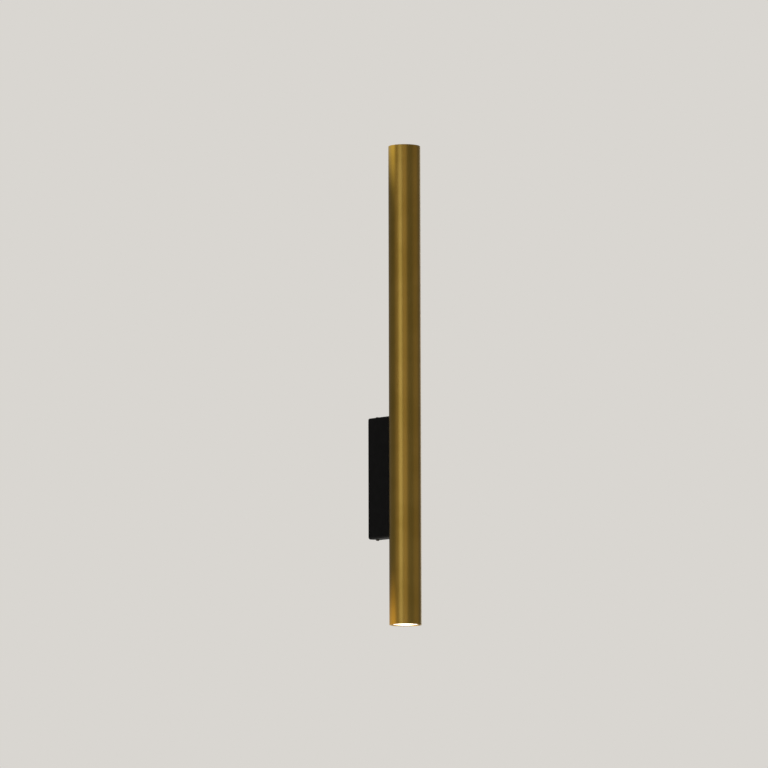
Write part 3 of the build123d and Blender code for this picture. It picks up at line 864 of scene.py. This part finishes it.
@dataclass
class MountBox:
    """The slim box that carries the tube. Lengths are in mm."""

    width: float = 20.0
    height: float = 152.0
    depth: float = 38.0
    wall: float = 1.6
    front_wall: float = 2.0
    corner: float = 3.0
    corner_segments: int = 8
    edge_rounding: float = 0.35
    saddle_radius: float = 20.05
    saddle_sides: int = 192
    notch_radius: float = 1.4
    notch_depth: float = 6.0
    notch_sides: int = 40
    overshoot: float = 5.0  # how far the cutters pass the box
    smooth_below: float = 50.0  # in degrees
    holes: tuple[Hole, ...] = (BUSH_HOLE, BLOCK_SCREW_HOLE, *TUBE_SCREW_HOLES)

    def build(self) -> None:
        """Makes the box: a block, rounded, hollowed from the wall side, saddled, drilled and notched."""
        half_width, half_height = self.width / 2, self.height / 2
        saddle = self.saddle_radius - math.sqrt(self.saddle_radius**2 - half_width**2)
        low, high = (-half_width, -self.depth - saddle, -half_height), (half_width, 0.0, half_height)
        box = Workpiece.block("coated_box", low, high)
        box.pick(Part.EDGES, lambda way, corners: abs(way.y) > ALONG)
        bpy.ops.mesh.bevel(offset=self.corner * MM, segments=self.corner_segments, affect="EDGES")
        box.pick(Part.FACES, lambda way, corners: way.y > ALONG)
        bpy.ops.mesh.inset(thickness=self.wall * MM)
        hollow = (0.0, (self.front_wall - self.depth) * MM, 0.0)
        bpy.ops.mesh.extrude_region_move(TRANSFORM_OT_translate={"value": hollow})
        box.clean().cut(self.saddle_cutter(), *(hole.drill(self.overshoot) for hole in self.holes))
        box.cut(*(self.notch_cutter(end) for end in End)).ease(self.edge_rounding)
        box.finish(Slot.POWDER_COAT, Body.FIXTURE, "mount_box", self.smooth_below)

    def saddle_cutter(self) -> Workpiece:
        """Makes the cutter of the saddle that fits the tube."""
        reach = self.height / 2 + 2 * self.overshoot
        return Workpiece.bar("saddle", self.saddle_radius, -reach, reach, TUBE_AXIS, sides=self.saddle_sides)

    def notch_cutter(self, end: End) -> Workpiece:
        """Makes the cutter of the notch that slides behind a fixing screw.

        Args:
            end: the end of the box.

        Returns:
            The cutter.
        """
        middle, radius, depth = end.value * self.height / 2, self.notch_radius, self.notch_depth
        low, high = middle - 2 * self.wall, middle + 2 * self.wall
        seat = Workpiece.bar("notch", radius, low, high, (0.0, -depth, 0.0), sides=self.notch_sides)
        mouth = Workpiece.block("mouth", (-radius, -depth, low), (radius, self.overshoot, high))
        return seat.combine(mouth, Meeting.BOTH)


@dataclass(frozen=True)
class ThreadedScrew:
    """A screw with a cut thread, in mm, drawn pointing down with its head's underside at the origin."""

    radius: float  # of its thread
    pitch: float
    length: float  # from under its head to its tip
    head_radius: float = 0.0  # or 0 for none
    head_height: float = 0.0
    socket_width: float = 0.0  # across the flats of its hexagon socket, or 0 for none
    slot_width: float = 0.0  # or 0 for none
    recess: float = 0.9  # depth of its socket or slot
    thread_share: float = 0.6134  # depth of a metric thread over its pitch
    flank_share: float = 0.44  # half the thread's width over its pitch: at 0.5 its turns would meet
    run_out: Pair = (1.1, 1.5)  # from the tip to the thread, and all that is left plain, over its pitch
    bite: float = 0.05  # how far the thread's ridge reaches into the core
    skin: float = 0.01  # how far the core stands out of the ridge's foot
    tip_share: float = 0.6  # the tip's chamfer over the thread's depth
    rim_break: float = 0.1  # chamfer under the head's rim
    dome: Point = (0.3, 0.3, 0.45)  # rise over the head's height, then how far in and down its middle lies
    steps: int = 28  # flats in one turn of the thread
    sides: int = 48
    overshoot: float = 1.0  # how far a cutter passes the head

    def build(self, name: str) -> Workpiece:
        """Makes the screw: a turned core and head, a helical ridge round the core, and a socket or slot.

        Args:
            name: the screw's name.

        Returns:
            The screw.
        """
        root = self.radius - self.thread_share * self.pitch
        screw = Workpiece.turned(name, self.profile(root), self.sides)
        screw.combine(self.ridge(root), Meeting.BOTH)
        floor, above = self.head_height - self.recess, self.head_height + self.overshoot
        if self.socket_width:
            corners = self.socket_width / math.sqrt(3)
            screw.cut(Workpiece.bar("socket", corners, floor, above, sides=HEXAGON))
        if self.slot_width:
            reach = max(self.head_radius, self.radius) + self.overshoot
            half = self.slot_width / 2
            screw.cut(Workpiece.block("slot", (-reach, -half, floor), (reach, half, above)))
        return screw

    def profile(self, root: float) -> list[Pair]:
        """Lists the rings of the core and head, from the tip up.

        Args:
            root: radius at the bottom of the thread, in mm.

        Returns:
            Radius and height of each ring, in mm.
        """
        core = root + self.skin
        chamfer = self.tip_share * (self.radius - root)
        rings = [(root - chamfer, -self.length), (core, chamfer - self.length)]
        if not self.head_radius:
            return rings + [(core, -chamfer), (root - chamfer, 0.0)]
        head, top = self.head_radius, self.head_height
        share, inward, down = self.dome
        rise = share * top
        return rings + [
            (core, 0.0),
            (head - self.rim_break, 0.0),
            (head, self.rim_break),
            (head, top - rise),
            (head - inward * rise, top - down * rise),
            (head - rise, top),
        ]

    def ridge(self, root: float) -> Workpiece:
        """Makes the thread's ridge, a triangle wound round the core.

        Args:
            root: radius at the bottom of the thread, in mm.

        Returns:
            The ridge.
        """
        Workpiece.clear_selection()
        bpy.ops.mesh.primitive_circle_add(vertices=3, radius=MM, fill_type="NOTHING")
        ridge = Workpiece(bpy.context.object, "ridge")
        from_tip, plain = self.run_out
        turns = max(1, int((self.length - plain * self.pitch) / self.pitch))
        start, foot = from_tip * self.pitch - self.length, root - self.bite
        half = self.flank_share * self.pitch
        corners = [(foot, start - half), (self.radius, start), (foot, start + half)]
        for vertex, (out, height) in zip(ridge.obj.data.vertices, corners):
            vertex.co = Vector((out, 0.0, height)) * MM
        ridge.apply(
            "SCREW",
            angle=2 * math.pi,
            screw_offset=self.pitch * MM,
            iterations=turns,
            steps=self.steps,
            render_steps=self.steps,
            use_merge_vertices=False,
        )
        ridge.edit_all()
        bpy.ops.mesh.fill_holes(sides=4)  # closes its two ends
        return ridge.clean()


@dataclass
class FixingScrews:
    """The two small blackened screws that hold the box on the bracket's tabs. Lengths are in mm."""

    screw: ThreadedScrew = ThreadedScrew(
        radius=1.25, pitch=0.45, length=6.0, head_radius=2.0, head_height=1.5, socket_width=2.0
    )
    seat: float = 76.05  # from the origin up or down to the underside of a head
    setback: float = 6.0  # from the wall to their axes

    def build(self) -> None:
        """Makes one screw and puts a copy at each end of the box."""
        model = self.screw.build("fixing_screw_model")
        for end in End:
            place = shift(0.0, -self.setback, end.value * self.seat) @ end.outward
            copy = model.move_copy(f"{end.word}_blackened_screw", place)
            copy.finish(Slot.BLACKENED_STEEL, end.screw, f"{end.word}_fixing_screw")
        model.discard()


@dataclass(frozen=True)
class ScrewSet:
    """Screws of one kind that make one piece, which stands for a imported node."""

    name: str
    node: str
    body: Body
    slot: Slot
    screw: ThreadedScrew
    seats: tuple[Point, ...]  # where the undersides of their heads lie, in mm


@dataclass
class Hardware:
    """The earth stud with its nut and the screws inside the box, with their threads and driver recesses."""

    stud: ScrewSet = ScrewSet(
        "earth_stud_threaded", "earth_stud", Body.BRACKET, Slot.BARE_BRASS,
        ThreadedScrew(radius=2.0, pitch=0.7, length=10.3, head_radius=2.8, head_height=0.7),
        ((0.0, -0.7, 22.0),),
    )
    tube_screws: ScrewSet = ScrewSet(
        "tube_screws_threaded", "tube_screws", Body.FIXTURE, Slot.ZINC_PLATE,
        ThreadedScrew(
            radius=2.0, pitch=0.7, length=12.0, head_radius=4.0, head_height=2.6, socket_width=2.5, recess=1.6
        ),
        ((0.0, -34.3, 60.0), (0.0, -35.1, -60.0)),
    )
    clamp_screws: ScrewSet = ScrewSet(
        "clamp_screws_slotted", "terminal_screws", Body.FIXTURE, Slot.ZINC_PLATE,
        ThreadedScrew(radius=1.2, pitch=0.4, length=5.0, slot_width=0.5),
        tuple((x, -24.7, z) for x in (-5.0, 0.0, 5.0) for z in (0.0, 8.0)),
    )
    block_screw: ScrewSet = ScrewSet(
        "block_screw_slotted", "terminal_block_screw", Body.FIXTURE, Slot.ZINC_PLATE,
        ThreadedScrew(radius=1.5, pitch=0.5, length=4.9, head_radius=2.75, head_height=1.8, slot_width=0.8),
        ((0.0, -33.0, -9.0),),
    )
    nut_seat: Point = (0.0, -6.5, 22.0)
    nut_across: float = 7.0
    nut_thickness: float = 3.2
    nut_bore: float = 2.05
    nut_chamfer: float = 0.4
    nut_face_inset: float = 0.1
    nut_sides: int = 72
    bore_sides: int = 48
    corner_room: float = 0.05  # by which the turned outside clears the hexagon's corners
    bore_room: float = 0.01  # and the bore's cutter passes the faces

    def build(self) -> None:
        """Makes each kind of screw once and puts its copies in place, then the nut."""
        for kind in (self.stud, self.tube_screws, self.clamp_screws, self.block_screw):
            model = kind.screw.build(f"{kind.name}_model")
            copies = [
                model.move_copy(f"{kind.name}_{i}", shift(*seat) @ self.towards_room())
                for i, seat in enumerate(kind.seats)
            ]
            screws = Workpiece(copies[0].join(*copies[1:]).obj, kind.name)
            screws.finish(kind.slot, kind.body, kind.node)
            model.discard()
        self.nut().finish(Slot.BARE_BRASS, Body.BRACKET, "earth_nut")

    @staticmethod
    def towards_room() -> Matrix:
        """Turns a screw drawn pointing down so that it points to the room."""
        return turn(-90.0, Axis.X)

    def nut(self) -> Workpiece:
        """Makes the earth stud's nut: a hexagon with both faces chamfered and its bore countersunk.

        Returns:
            The nut.
        """
        corner = self.nut_across / math.sqrt(3)
        top, step = self.nut_thickness, self.nut_chamfer
        flat, round_corner = self.nut_across / 2 - self.nut_face_inset, corner + self.corner_room
        rings = [(flat, 0.0), (round_corner, step), (round_corner, top - step), (flat, top)]
        outside = Workpiece.turned("nut_outside", rings, self.nut_sides)
        bore, mouth, room = self.nut_bore, self.nut_bore + step + self.bore_room, self.bore_room
        rings = [(mouth, -room), (bore, step), (bore, top - step), (mouth, top + room)]
        hole = Workpiece.turned("nut_bore", rings, self.bore_sides)
        nut = Workpiece.bar("earth_nut_chamfered", corner, 0.0, top, sides=HEXAGON)
        nut.combine(outside, Meeting.SHARED).cut(hole)
        nut.obj.matrix_world = shift(*self.nut_seat) @ self.towards_room() @ turn(90.0, Axis.Z)
        return nut.settle()


@dataclass
class EasedPieces:
    """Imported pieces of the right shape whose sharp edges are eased, as the press or the mould leaves them."""

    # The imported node, the piece's name, and the easing's width in mm and its segments.
    kinds: tuple[tuple[str, str, float, int], ...] = (
        ("wall_bracket", "bracket_pressed", 0.18, 1),
        ("earth_washers", "earth_washers_eased", 0.1, 1),
        ("cable_grommet", "grommet_moulded", 0.3, 3),
        ("cable_bush", "bush_moulded", 0.2, 2),
        ("terminal_block", "terminal_block_moulded", 0.2, 2),
        ("terminal_clamps", "terminal_clamps_eased", 0.12, 1),
        ("earth_ring_terminal", "earth_ring_stamped", 0.1, 1),
        ("tube_screw_washers", "tube_screw_washers_eased", 0.1, 1),
    )
    sharp: float = 45.0  # least angle, in degrees, of an edge that is eased
    smooth_below: float = 40.0  # angle under which two faces are shaded as one
    flat_within: float = 0.5  # angle within which triangles are one face

    def build(self) -> None:
        """Copies each node, merges its loose triangles, eases its edges and lets the copy stand for it."""
        record = frame["record"]
        slots = {part["node"]: Slot(part["material_slot"]) for part in record["subparts"]}
        bodies = {node: Body(body) for body, nodes in record["behaviour"]["bodies"].items() for node in nodes}
        for node, name, width, segments in self.kinds:
            piece = self.merged_copy(frame["nodes"][node], name).ease(width, segments, self.sharp)
            piece.finish(slots[node], bodies[node], node, self.smooth_below)

    def merged_copy(self, source: bpy.types.Object, name: str) -> Workpiece:
        """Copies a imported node, free of the frame, its triangles merged and its flat faces whole again.

        Args:
            source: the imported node.
            name: the copy's name.

        Returns:
            The copy.
        """
        Workpiece.clear_selection()
        source.select_set(True)
        bpy.context.view_layer.objects.active = source
        bpy.ops.object.duplicate(linked=False)
        bpy.ops.object.parent_clear(type="CLEAR_KEEP_TRANSFORM")
        piece = Workpiece(bpy.context.object, name)
        for mark in list(piece.obj.keys()):
            del piece.obj[mark]
        bpy.ops.mesh.customdata_custom_splitnormals_clear()
        piece.clean().edit_all()
        bpy.ops.mesh.dissolve_limited(angle_limit=math.radians(self.flat_within))
        bpy.ops.object.mode_set(mode="OBJECT")
        return piece


@dataclass
class Lamp:
    """A twist-base lamp: its shell and opal cover, in mm, drawn looking up with the tube's rim at Z = 0."""

    tube_top: float = 414.0
    tube_bottom: float = -186.0
    rest_turn: float = -17.5  # in degrees
    recess: float = 1.0  # of its face in the tube
    radius: float = 17.5
    rim_height: float = 7.0
    length: float = 44.0
    neck_radius: float = 11.8
    base_height: float = 13.0
    spigot_radius: float = 8.05
    spigot_height: float = 6.05
    mouth_chamfer: float = 0.25
    rim_rounding: Pair = (0.4, 0.12)  # reach of the rim's rounding, and its middle's distance to both faces
    skirt_chamfer: Pair = (0.15, 0.3)  # inwards and up
    neck_chamfer: float = 0.2
    shell_sides: int = 112
    lens_radius: float = 16.3
    lens_thickness: float = 2.4
    lens_inset: float = 0.3
    lens_ledge: float = 1.2
    lens_crown: float = 0.9
    lens_back_chamfer: float = 0.1
    lens_rounding: float = 0.5
    lens_rounding_steps: tuple[int, ...] = (0, 30, 60, 90)  # in degrees
    lens_rings: int = 8
    lens_sides: int = 96
    board_below_lens: float = 6.0
    board_thickness: float = 1.6
    fin_count: int = 14
    fin_slot_width: float = 1.8
    fin_root_radius: float = 10.5
    fin_margin: float = 1.6  # between a slot's ends and the neck and chamber
    fin_easing: float = 0.15
    fin_sharp: float = 50.0  # least angle, in degrees, of an edge that is eased
    seat_gap: float = 0.05  # round the cover
    overshoot: float = 5.0  # how far the slots' cutters pass the shell

    def build(self) -> None:
        """Makes the shell and the cover once, and puts a copy of each at both ends."""
        for model, node, word, slot in (
            (self.shell(), "lamp_heatsink", "lamp_shell", Slot.CAST_ALUMINIUM),
            (self.cover(), "lamp_lens", "lamp_cover", Slot.OPAL),
        ):
            for end in End:
                copy = model.move_copy(f"{end.word}_{word}", self.placed(end))
                copy.finish(slot, end.lamp, f"{end.word}_{node}")
            model.discard()

    def placed(self, end: End) -> Matrix:
        """Says where a piece goes at one end of the tube.

        Args:
            end: the end of the tube.

        Returns:
            The change of place.
        """
        height = self.tube_top if end is End.UPPER else self.tube_bottom
        return shift(0.0, TUBE_AXIS_Y, height) @ end.outward @ turn(self.rest_turn, Axis.Z)

    def shell(self) -> Workpiece:
        """Makes the cast shell: turned inside and out, with slots between its fins.

        Returns:
            The shell.
        """
        face = -self.recess
        neck = face - self.length + self.base_height
        skirt = face - self.rim_height
        lens_back = face - self.lens_inset - self.lens_thickness
        floor = lens_back - self.board_below_lens - self.board_thickness
        seat = self.lens_radius + self.seat_gap
        chamber = seat - self.lens_ledge
        rim, rim_middle = self.rim_rounding
        skirt_in, skirt_up = self.skirt_chamfer
        profile = [
            (chamber, floor),
            (chamber, lens_back),
            (seat, lens_back),
            (seat, face - self.mouth_chamfer),
            (seat + self.mouth_chamfer, face),
            (self.radius - rim, face),
            (self.radius - rim_middle, face - rim_middle),
            (self.radius, face - rim),
            (self.radius, skirt + skirt_up),
            (self.radius - skirt_in, skirt),
            (self.neck_radius, neck + self.neck_chamfer),
            (self.neck_radius - self.neck_chamfer, neck),
            (self.spigot_radius, neck),
            (self.spigot_radius, neck + self.spigot_height),
        ]
        shell = Workpiece.turned("shell_model", profile, self.shell_sides)
        half = self.fin_slot_width / 2
        low = (self.fin_root_radius, -half, neck + self.fin_margin)
        high = (self.radius + self.overshoot, half, floor - self.fin_margin)
        for i in range(self.fin_count):
            slot = Workpiece.block("fin_slot", low, high)
            slot.obj.matrix_world = turn(360 * i / self.fin_count, Axis.Z)
            shell.cut(slot.settle())
        return shell.ease(self.fin_easing, 1, self.fin_sharp)

    def cover(self) -> Workpiece:
        """Makes the opal cover: a disc with a low crown and a rounded edge.

        Returns:
            The cover.
        """
        front = -self.recess - self.lens_inset
        back = front - self.lens_thickness
        edge, chamfer = self.lens_rounding, self.lens_back_chamfer
        profile = [(self.lens_radius - chamfer, back), (self.lens_radius, back + chamfer)]
        for angle in map(math.radians, self.lens_rounding_steps):
            inward, down = edge * (1 - math.cos(angle)), edge * (1 - math.sin(angle))
            profile.append((self.lens_radius - inward, front - down))
        flat = self.lens_radius - edge
        for ring in range(1, self.lens_rings):
            left = 1 - ring / self.lens_rings
            profile.append((flat * left, front + self.lens_crown * (1 - left**2)))
        return Workpiece.turned("cover_model", profile, self.lens_sides)


@dataclass
class PackedPieces:
    """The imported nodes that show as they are, each in its own finish. Lengths are in mm."""

    board_fronts: Pair = (404.3, -176.3)  # heights of the upper and the lower board's front face
    chip_heights: Pair = (0.05, 2.0)  # from where to where the chips stand above it
    chip_reach: float = 20.0  # how far from the lamp's axis there may be chips

    def dress(self) -> None:
        """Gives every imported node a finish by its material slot, and the boards their own."""
        own = {f"{end.word}_lamp_board": self.board_finish(end, z) for end, z in zip(End, self.board_fronts)}
        for name, node in sorted(frame["nodes"].items()):
            finish = own.get(name) or FINISHES[Slot(node.data.materials[0].name.split(".")[0])]
            node.material_slots[0].material = finish.material()
            log.info("%s shows as %s", name, finish.name)

    def board_finish(self, end: End, front: float) -> TwoTone:
        """The finish of a lamp's board: white solder mask, slightly glossy, with yellow phosphor chips.

        Args:
            end: the end of the tube.
            front: height of the board's front face, in mm.

        Returns:
            The finish.
        """
        low, high = sorted(front + end.value * height for height in self.chip_heights)
        reach = self.chip_reach
        chips = PlaceMask((-reach, TUBE_AXIS_Y - reach, low), (reach, TUBE_AXIS_Y + reach, high))
        return TwoTone(
            f"board_white_mask_{end.word}", "eceeea", "e4e6e2", roughness=0.4, gloss_spread=0.05,
            grain_size=0.3, marked_colour="e8c63c", marked_metallic=0.0, marks=(chips,),
        )


# ---- the studio ----


@dataclass(frozen=True)
class SoftBox:
    """A soft rectangular lamp. Lengths are in metres."""

    name: str
    place: Point
    size: Pair
    watts: float
    in_gloss: bool = True  # whether metal and gloss mirror it
    colour: str = "ffffff"

    def hang(self, aim: Point) -> None:
        """Hangs the lamp so that it faces a point.

        Args:
            aim: the point, in metres.
        """
        Workpiece.clear_selection()
        way = Vector(aim) - Vector(self.place)
        facing = way.to_track_quat("-Z", "Y").to_euler()
        bpy.ops.object.light_add(type="AREA", location=self.place, rotation=facing)
        lamp = bpy.context.object
        lamp.name = f"studio_{self.name}"
        lamp.data.shape = "RECTANGLE"
        lamp.data.size, lamp.data.size_y = self.size
        lamp.data.energy = self.watts
        lamp.data.color = linear(self.colour)[:3]
        lamp.visible_glossy = self.in_gloss
        lamp.visible_camera = False


@dataclass(frozen=True)
class WallPool:
    """A warm card on the wall plane, where a lamp lights the wall, which only gloss mirrors."""

    name: str
    low: float  # height of its lower edge, in metres
    high: float
    colour: str
    strength: float  # of its middle, where 1 is white


@dataclass
class Studio:
    """The pale floor, the background, the soft lamps and the camera. Lengths are in metres."""

    background: str = "d9d6d1"
    floor_height: float = -1.2
    floor_size: float = 60.0
    sweep: Pair = (1.2, 4.5)  # from its middle, where the floor starts and ends passing into the background
    ambient: float = 0.55  # strength of the light that comes from all round
    tent_radius: float = 6.0
    tent_height: float = 8.0
    tent_sides: int = 96
    tent_colour: str = "7d7a74"

    # A key, a fill and a back light, and tall strips that draw the bands of light on the tube: name, place,
    # width and height, and watts.
    soft_boxes: tuple[SoftBox, ...] = (
        SoftBox("key", (-1.6, -2.6, 1.9), (1.6, 1.6), 62.0, in_gloss=False),
        SoftBox("fill", (2.6, -2.2, 0.6), (1.8, 2.2), 34.0, in_gloss=False),
        SoftBox("back", (1.4, 2.6, 1.4), (1.8, 1.8), 45.0, in_gloss=False),
        SoftBox("streak", (-2.85, -0.95, 0.1), (1.3, 3.0), 8.2),
        SoftBox("streak_middle", (-2.84, -0.947, 0.5), (1.3, 0.5), 1.5),
        SoftBox("shoulder", (-1.92, -2.31, 0.1), (1.5, 3.0), 6.0, colour="ffe6c0"),
        SoftBox("far_side", (2.06, -2.18, 0.1), (2.4, 3.0), 3.4, colour="ffdcae"),
        SoftBox("near_wall", (-2.75, 0.35, 0.1), (1.5, 3.0), 3.0, colour="ffdfae"),
        SoftBox("rear_streak", (2.75, 1.2, 0.1), (1.0, 3.0), 8.0),
    )

    wall_pools: tuple[WallPool, ...] = (
        WallPool("upper_pool", low=0.35, high=0.62, colour="fff3bd", strength=1.6),
        WallPool("lower_pool", low=-0.37, high=-0.1, colour="ffd983", strength=1.35),
    )
    pool_middle: float = -0.085  # its X
    pool_width: float = 0.32
    pool_from_wall: float = 0.002
    pool_fade: Pair = (0.1, 0.5)  # from where to where it fades, as shares of its size

    # The camera, fitted to the photograph's outlines.
    aim: Point = (0.0, -0.058, 0.114)
    azimuth: float = 41.51
    elevation: float = 6.66
    roll: float = -0.0026
    distance: float = 7.58
    focal_px: float = 6087.0
    frame_px: float = 768.0
    offset_px: Pair = (20.9, -0.75)  # of the aim from the frame's middle, to the right and up
    sensor_mm: float = 36.0
    clip_end: float = 200.0

    def build(self) -> None:
        """Sets up everything round the object."""
        self.set_world()
        self.lay_floor()
        for soft_box in self.soft_boxes:
            soft_box.hang(self.aim)
        self.hang_tent()
        self.light_wall_pools()
        self.set_camera()
        bpy.context.scene.view_settings.view_transform = "Standard"

    def set_world(self) -> None:
        """A pale background for the camera, gloss and glass, and a softer light for the rest."""
        world = bpy.data.worlds.new("studio")
        bpy.context.scene.world = world
        tree = blank_tree(world)
        seen = self.seen_rays(tree)
        light = add_node(tree, "Background", {"Color": linear("ffffff"), "Strength": self.ambient})
        shown = add_node(tree, "Background", {"Color": linear(self.background), "Strength": 1.0})
        mixed = add_node(tree, "MixShader", {0: seen, 1: light.outputs[0], 2: shown.outputs[0]})
        add_node(tree, "OutputWorld", {"Surface": mixed.outputs[0]})

    @staticmethod
    def seen_rays(tree: Tree) -> Socket:
        """Finds the rays that show the background: of the camera, of gloss and through glass.

        Args:
            tree: the node tree that asks.

        Returns:
            1 for those rays and 0 for the others.
        """
        rays = add_node(tree, "LightPath").outputs
        seen = rays["Is Camera Ray"]
        for name in ("Is Glossy Ray", "Is Transmission Ray"):
            seen = add_node(tree, "Math", {0: seen, 1: rays[name]}, operation="MAXIMUM").outputs[0]
        return seen

    def lay_floor(self) -> None:
        """A wide pale floor, well below the object."""
        Workpiece.clear_selection()
        bpy.ops.mesh.primitive_plane_add(size=self.floor_size, location=(0.0, 0.0, self.floor_height))
        floor = bpy.context.object
        floor.name = "studio_floor"
        # Trowelled plaster: pale and matt, with broad faint drifts in its gloss.
        plaster = Finish(
            "floor_plaster_pale", self.background, self.background, roughness=0.8, patch_size=400.0,
            gloss_spread=0.03, grain_size=4.0, grain_height=0.02,
        ).material()
        self.fade_into_background(plaster.node_tree)
        floor.data.materials.append(plaster)

    def fade_into_background(self, tree: Tree) -> None:
        """Lets the floor pass into the background with distance, as a paper sweep does.

        From below it is clear.

        Args:
            tree: the floor material's node tree.
        """
        output = next(node for node in tree.nodes if node.type == "OUTPUT_MATERIAL")
        lit = output.inputs["Surface"].links[0].from_socket
        share = fade(tree, add_node(tree, "TexCoord").outputs["Object"], self.sweep, (0.0, 1.0))
        both = {0: self.seen_rays(tree), 1: share}
        seen = add_node(tree, "Math", both, operation="MULTIPLY").outputs[0]
        paper = add_node(tree, "Emission", {"Color": linear(self.background), "Strength": 1.0})
        mixed = add_node(tree, "MixShader", {0: seen, 1: lit, 2: paper.outputs[0]})
        below = add_node(tree, "NewGeometry").outputs["Backfacing"]
        clear = add_node(tree, "BsdfTransparent")
        one_sided = add_node(tree, "MixShader", {0: below, 1: mixed.outputs[0], 2: clear.outputs[0]})
        tree.links.new(one_sided.outputs[0], output.inputs["Surface"])

    def hang_tent(self) -> None:
        """A round tent of grey cloth that only gloss mirrors, which keeps the tube's metal from paling."""
        Workpiece.clear_selection()
        bpy.ops.mesh.primitive_cylinder_add(
            vertices=self.tent_sides,
            radius=self.tent_radius,
            depth=self.tent_height,
            end_fill_type="NOTHING",
            location=(0.0, 0.0, self.floor_height + self.tent_height / 2),
        )
        self.show_in_gloss_only(bpy.context.object, "tent", self.tent_colour, 1.0)

    def light_wall_pools(self) -> None:
        """Hangs the warm cards on the wall plane."""
        for pool in self.wall_pools:
            Workpiece.clear_selection()
            middle = (self.pool_middle, self.pool_from_wall, (pool.low + pool.high) / 2)
            bpy.ops.mesh.primitive_plane_add(size=1.0, location=middle, rotation=(math.radians(90), 0.0, 0.0))
            bpy.context.object.scale = (self.pool_width, pool.high - pool.low, 1.0)
            self.show_in_gloss_only(bpy.context.object, pool.name, pool.colour, pool.strength, soft_edge=True)

    def show_in_gloss_only(
        self, panel: bpy.types.Object, name: str, colour: str, strength: float, soft_edge: bool = False
    ) -> None:
        """Makes a panel shine so that only metal and gloss mirror it.

        Args:
            panel: the panel.
            name: its name.
            colour: sRGB hex.
            strength: how bright it is, where 1 is white.
            soft_edge: whether it fades from its middle to its edge.
        """
        panel.name = f"studio_{name}"
        cloth = bpy.data.materials.new(f"cloth_{name}")
        tree = blank_tree(cloth)
        light = add_node(tree, "Emission", {"Color": linear(colour), "Strength": strength})
        surface = light.outputs[0]
        if soft_edge:
            place = add_node(tree, "TexCoord").outputs["Object"]
            bright = fade(tree, place, self.pool_fade, (strength, 0.0))
            tree.links.new(bright, light.inputs["Strength"])
            clear = add_node(tree, "BsdfTransparent").outputs[0]
            surface = add_node(tree, "AddShader", {0: surface, 1: clear}).outputs[0]
        add_node(tree, "OutputMaterial", {"Surface": surface})
        panel.data.materials.append(cloth)
        for ray in ("camera", "diffuse", "shadow", "transmission", "volume_scatter"):
            setattr(panel, f"visible_{ray}", False)

    def set_camera(self) -> None:
        """Puts the camera where the photograph was taken from: below the middle, to the left, far away."""
        around, tilt = math.radians(self.azimuth), math.radians(self.elevation)
        level = math.cos(tilt)
        forward = Vector((math.sin(around) * level, math.cos(around) * level, math.sin(tilt)))
        right = Vector((math.cos(around), -math.sin(around), 0.0))
        up = right.cross(forward)
        place = Vector(self.aim) - forward * self.distance
        per_px = self.distance / self.focal_px
        target = Vector(self.aim) - right * (self.offset_px[0] * per_px) - up * (self.offset_px[1] * per_px)
        look = (target - place).normalized()
        right = look.cross(up).normalized()
        up = right.cross(look)
        keep, lean = math.cos(self.roll), math.sin(self.roll)
        right, up = right * keep + up * lean, up * keep - right * lean
        data = bpy.data.cameras.new("photograph")
        data.sensor_fit = "HORIZONTAL"
        data.sensor_width = self.sensor_mm
        data.lens = self.focal_px / self.frame_px * self.sensor_mm
        data.clip_end = self.clip_end
        camera = bpy.data.objects.new("photograph", data)
        bpy.context.scene.collection.objects.link(camera)
        rows = [(right[i], up[i], -look[i], place[i]) for i in range(3)]
        camera.matrix_world = Matrix((*rows, (0.0, 0.0, 0.0, 1.0)))
        bpy.context.scene.camera = camera


def main() -> None:
    """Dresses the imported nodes, makes the finer pieces and sets up the studio."""
    logging.basicConfig(level=logging.INFO, format="%(name)s: %(message)s")
    PackedPieces().dress()
    for piece in (Tube(), MountBox(), FixingScrews(), Hardware(), EasedPieces(), Lamp(), Studio()):
        piece.build()


if __name__ == "__main__":
    main()
